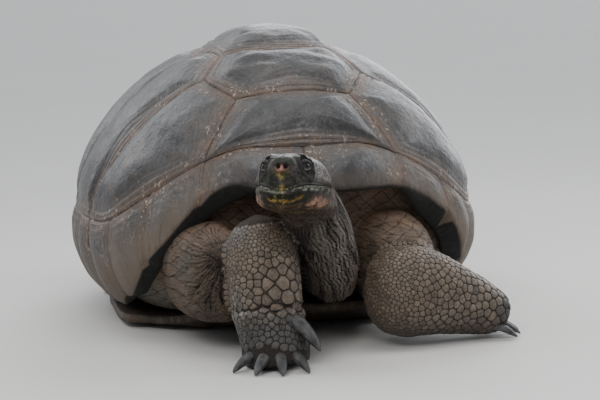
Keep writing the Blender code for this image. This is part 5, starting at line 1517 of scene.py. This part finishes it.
def cellReach(place, width, around, first, second, sides):
    # how far each cell runs in every direction: the nearest of the borders half-way to its neighbours,
    # moved towards the smaller one
    gap = place[around] - place[:, None]
    u, v = np.einsum("nkj,nj->nk", gap, first), np.einsum("nkj,nj->nk", gap, second)
    length = np.maximum(np.hypot(u, v), 1e-6)
    border = length * width[:, None] / (width[:, None] + width[around])
    turn = np.arange(sides) * 2 * pi / sides
    toward = (u / length)[..., None] * np.cos(turn) + (v / length)[..., None] * np.sin(turn)
    reach = np.where(toward > 0.08, border[..., None] / np.maximum(toward, 0.08), 1e3).min(axis=1)
    return np.minimum(reach, width[:, None] * 0.84), turn


def addScales(name, skin, share, widthAt, toneAt, unwrap, finish, seed, tall=1.0):
    # random roots, spaced and evened out; each scale follows a surface of second degree fitted to the skin
    points, normals = skin[0], skin[2]
    draw = np.random.default_rng(seed)
    place, normal = scatter(*skin, share, lambda p: scales["density"] / widthAt(p) ** 2, draw)
    order = draw.permutation(len(place))
    place, normal = place[order], normal[order]
    kept = spaced(place, widthAt(place))
    place, normal = place[kept], normal[kept]
    tree = treeOf(points)
    for _ in range(scales["rounds"]):  # every root moves to the middle of its cell and back onto the skin
        width = widthAt(place)
        first, second = tangents(normal)
        reach, turn = cellReach(place, width, neighboursOf(place, 12), first, second, 24)
        weight = (reach ** 2).sum(axis=1)
        u, v = ((reach ** 3 * f(turn)).sum(axis=1) * 2 / 3 / weight for f in (np.cos, np.sin))
        place = place + u[:, None] * first + v[:, None] * second
        nearest = np.array([tree.find(p)[1] for p in place])
        normal = unit(normals[nearest] + 0.3 * normal)
        place = place - normal * ((place - points[nearest]) * normal).sum(axis=1, keepdims=True)
    width = widthAt(place)
    first, second = tangents(normal)
    reach, turn = cellReach(place, width, neighboursOf(place, 14), first, second, scales["sides"])
    gap = points[nearestOf(tree, place, 18)] - place[:, None]
    u, v, w = (np.einsum("nkj,nj->nk", gap, axis) for axis in (first, second, normal))
    sizes = np.array([1e-4, 1e-4, 1e-4, 1e-2, 1e-2, 1])  # usual sizes of the six terms
    terms = np.stack([u * u, u * v, v * v, u, v, np.ones_like(u)], -1) / sizes
    square = np.einsum("nki,nkj->nij", terms, terms) + np.eye(6) * 1e-3  # least squares, damped
    bend = np.linalg.solve(square, np.einsum("nki,nk->ni", terms, w)[..., None])[..., 0]
    bend = bend / sizes
    size = reach.mean(axis=1)
    # rings from the sunk foot over a steep shoulder to a low domed top, and back to a point underneath
    profile = ((1.00, -scales["sink"], 0.0), (1.0 - scales["gap"], 0.25, 0.45), (0.80, 0.78, 0.94),
               (0.40, 1.0, 1.0))
    uneven = np.clip(1.0 + 0.25 * draw.standard_normal(len(place)), 0.6, 1.4)
    rings, rise = [], []
    for ringShare, height, riseShare in profile:
        ru, rv = reach * ringShare * np.cos(turn), reach * ringShare * np.sin(turn)
        surface = (bend[:, 0:1] * ru ** 2 + bend[:, 1:2] * ru * rv + bend[:, 2:3] * rv ** 2
                   + bend[:, 3:4] * ru + bend[:, 4:5] * rv + bend[:, 5:6])
        surface = np.clip(surface, -0.5 * size[:, None], 0.5 * size[:, None])
        up = height if height < 0 else height * (scales["tall"] * tall * size * uneven)[:, None]
        rings.append(place[:, None] + ru[..., None] * first[:, None] + rv[..., None] * second[:, None]
                     + (surface + up)[..., None] * normal[:, None])
        rise.append(np.full((len(place), scales["sides"]), riseShare))
    top = place + normal * (bend[:, 5] + scales["tall"] * tall * 1.04 * size * uneven)[:, None]
    foot = place + normal * (bend[:, 5] - scales["sink"])[:, None]
    block = np.concatenate([np.concatenate(rings, axis=1), foot[:, None], top[:, None]], axis=1)
    block[..., 2] = np.maximum(block[..., 2], ground["scale"])
    quadsOne, fansOne = ringFaces(len(profile), scales["sides"])
    shift = (np.arange(len(place)) * block.shape[1])[:, None, None]
    allQuads, allFans = (quadsOne[None] + shift).reshape(-1, 4), (fansOne[None] + shift).reshape(-1, 3)
    riseField = np.concatenate(rise + [np.zeros((len(place), 1)), np.ones((len(place), 1))], axis=1)
    tone = toneAt(place) * (1 + 0.16 * draw.standard_normal(len(place)))[:, None]
    tone = np.clip(tone, 0.01, 0.6)[:, None].repeat(block.shape[1], axis=1)
    flat = [np.stack([out * np.cos(turn), out * np.sin(turn)], -1) for out, _, _ in profile]
    flat = np.concatenate(flat + [np.zeros((2, 2))])
    bakeUv = (unwrap(place)[:, None] + flat[None] * scales["patch"]).reshape(-1, 2)
    addPiece(name, block.reshape(-1, 3), allQuads, allFans, finish, (),
             {"tint": tone.reshape(-1, 3), "rise": riseField.ravel()}, bakeUv)
    print(name + ":", len(place), "scales")


def limbUnwrap(name):  # along the limb and round it, within the unit square
    def place(points):
        found = follow(points, name)
        return np.stack([0.02 + 0.96 * found["along"], 0.02 + 0.96 * (found["turn"] / (2 * pi) + 0.5)], -1)
    return place


def headUnwrap(points):  # direction from the head's centre as two angles
    a, s, h = headParts(points)
    around, up = np.arctan2(s, a) / (2 * pi), np.arctan2(h, np.hypot(a, s)) / pi
    return np.stack([0.5 + around * 0.95, 0.5 + up * 0.95], -1)


def rightWidth(p):  # broad scales on the front, towards its middle, small ones high up and on the outer side
    x = (p[:, 0] + 0.100) / 0.067
    front = smooth((0.25 - (p[:, 1] + 0.600) / 0.07) / 0.9)
    middle = hill(x - 0.30, 0.80) * front
    low = before(p[:, 2], 0.245, 0.10)
    foot = before(p[:, 2], 0.118, 0.03)
    width = 0.0070 + 0.0150 * middle * low + 0.003 * low
    return width * (1 - foot) + 0.0115 * foot


def leftWidth(p):  # even cobbles, smaller towards the elbow and over the top
    x = past(p[:, 0], 0.13, 0.12)
    top = past(p[:, 2], 0.12, 0.06)
    return 0.0078 + 0.0070 * x * (1 - 0.45 * top) + 0.0035 * past(p[:, 0], 0.31, 0.05)


def hindWidth(p):  # broader towards the foot
    return 0.0125 + 0.006 * before(p[:, 2], 0.09, 0.06)


def tailWidth(p):  # smaller towards the tip
    return 0.0085 - 0.0035 * past(p[:, 0], 0.02, 0.08)


def crownWidth(p):  # broader on top
    return 0.0062 + 0.0035 * past(headParts(p)[2], 0.035, 0.015)


def addAllScales(skin, region, tint):  # where each kind of scale grows, in the colour of the skin there
    points, finish = skin[0], scaleFinish()
    tree = treeOf(points)

    def toneAt(place):
        return tint[np.array([tree.find(p)[1] for p in place])]

    parts = region["parts"]
    ankle = 0.050 - 1.5 * (points[:, 0] + 0.100) ** 2 + 0.008 * noise(points, 0.02, 151)
    rightShare = region["rightForearm"] * (parts["rightForearm"]["along"] > 0.06) * (points[:, 2] > ankle)
    rightShare = rightShare * (parts["rightForearm"]["out"] < 1.035)
    leftShare = region["leftForearm"] * (parts["leftForearm"]["out"] < 1.035)
    for name, limb, share, widthAt, seed in (
            ("foreleg_right", "rightForearm", rightShare, rightWidth, 3),
            ("foreleg_left", "leftForearm", leftShare, leftWidth, 5),
            ("hindleg_left", "leftShank", region["leftShank"], hindWidth, 7),
            ("hindleg_right", "rightShank", region["rightShank"], hindWidth, 9),
            ("tail", "tail", region["tail"], tailWidth, 11)):
        addScales("scales_" + name, skin, share, widthAt, toneAt, limbUnwrap(limb), finish, seed)
    a, s, h = headParts(points)
    crown = region["head"] * (h > 0.012) * (a < 0.070) * (eyeAway(a, s, h, 0.0) > 0.026) * (a > -0.085)
    addScales("scales_head", skin, crown, crownWidth, toneAt, headUnwrap, finish, 13, tall=0.45)


# Floor, lights and camera

stage = {
    "floor": (0.62, 0.61, 0.59), "floorWorn": (0.55, 0.545, 0.53), "floorHalf": 90.0,
    "sky": (0.80, 0.84, 0.90), "skyStrength": 0.40,
    "cameraAround": radians(-8.5), "cameraUp": radians(6.5), "cameraRoll": radians(2.0), "distance": 4.6,
    "lookAt": (0.0, 0.0, 0.30), "aside": 0.01446, "below": 0.01586, "lens": 128.6,
    # name, direction it comes from, strength
    "suns": (("backRight", (0.42, 0.83, 0.38), 2.6), ("backLeft", (-0.50, 0.66, 0.55), 1.5)),
    "spread": radians(48), "sunColour": (0.95, 0.97, 1.0),
    # name, place, aim, width, depth, watts, colour
    "lights": (("overhead", (0.10, -0.60, 3.00), (0.0, -0.20, 0.30), 2.4, 1.6, 42, (1.0, 0.99, 0.97)),
               ("frontSoft", (-1.4, -3.2, 2.6), (0.0, -0.4, 0.25), 2.2, 1.6, 72, (1.0, 0.98, 0.95)),
               ("rightSoft", (3.0, -0.6, 2.0), (0.0, -0.1, 0.30), 1.8, 1.4, 45, (0.97, 0.98, 1.0))),
}


def axesMatrix(right, up, back, place):  # three axes and an origin as the columns of a matrix
    return Matrix(np.transpose([right, up, back, place]).tolist() + [[0.0, 0.0, 0.0, 1.0]])


def addLamp(name, kind, back, place, settings):  # shines away from the direction called back
    light = bpy.data.lights.new(name, kind)
    for key, value in settings.items():
        setattr(light, key, value)
    lamp = bpy.data.objects.new(name, light)
    right = unit(np.cross([0.0, 0.0, 1.0], back))
    lamp.matrix_world = axesMatrix(right, np.cross(back, right), back, place)
    bpy.context.scene.collection.objects.link(lamp)


def addFloor():  # one wide square just under the soles
    half, level = stage["floorHalf"], ground["floor"]
    mesh = bpy.data.meshes.new("floor")
    mesh.from_pydata([(-half, -half, level), (half, -half, level), (half, half, level), (-half, half, level)],
                     [], [(0, 1, 2, 3)])
    floor = bpy.data.objects.new("floor", mesh)
    bpy.context.scene.collection.objects.link(floor)
    f = Finish("paleFloor")
    tone = f.grain(0.9)
    base = f.blend(tone.span(0.3, 0.7) * 0.12, stage["floor"], stage["floorWorn"])
    mesh.materials.append(f.close(base, 0.85 + tone * 0.05, f.relief([(f.grain(0.004, 2.0), 0.0001)])))


def addStage():  # the camera looks at a point from a given angle and distance, rolled and shifted a little
    scene = bpy.context.scene
    addFloor()
    world = bpy.data.worlds.new("softSky")
    world.use_nodes = True
    sky = world.node_tree.nodes["Background"].inputs
    sky["Color"].default_value, sky["Strength"].default_value = (*stage["sky"], 1.0), stage["skyStrength"]
    scene.world = world
    for name, place, aim, width, depth, watts, colour in stage["lights"]:
        addLamp(name, "AREA", unit(np.array(place) - np.array(aim)), place, {
            "shape": "RECTANGLE", "size": width, "size_y": depth, "energy": watts, "color": colour})
    for name, direction, strength in stage["suns"]:
        addLamp(name, "SUN", unit(direction), unit(direction) * 5.0, {
            "energy": strength, "angle": stage["spread"], "color": stage["sunColour"]})
    around, up, roll = stage["cameraAround"], stage["cameraUp"], stage["cameraRoll"]
    back = np.array([sin(around) * cos(up), -cos(around) * cos(up), sin(up)])
    place = np.array(stage["lookAt"]) + back * stage["distance"]
    level = unit(np.cross(-back, [0, 0, 1.0]))
    rise = np.cross(level, -back)
    right = level * cos(roll) - rise * sin(roll)
    rise = rise * cos(roll) + level * sin(roll)
    ahead = unit(-back + right * stage["aside"] - rise * stage["below"])
    right = unit(right - ahead * np.dot(right, ahead))
    camera = bpy.data.objects.new("camera", bpy.data.cameras.new("camera"))
    camera.data.lens, camera.data.sensor_width = stage["lens"], 36.0
    camera.data.clip_end = 60.0
    camera.matrix_world = axesMatrix(right, np.cross(right, ahead), -ahead, place)
    scene.collection.objects.link(camera)
    scene.camera = camera
    print("floor, lights and camera")


addStage()
addCarapace()
addPlastron()
skin, region, tint, hide = addSkin()
addEyes(hide)
addBeak()
addClaws()
addAllScales(skin, region, tint)
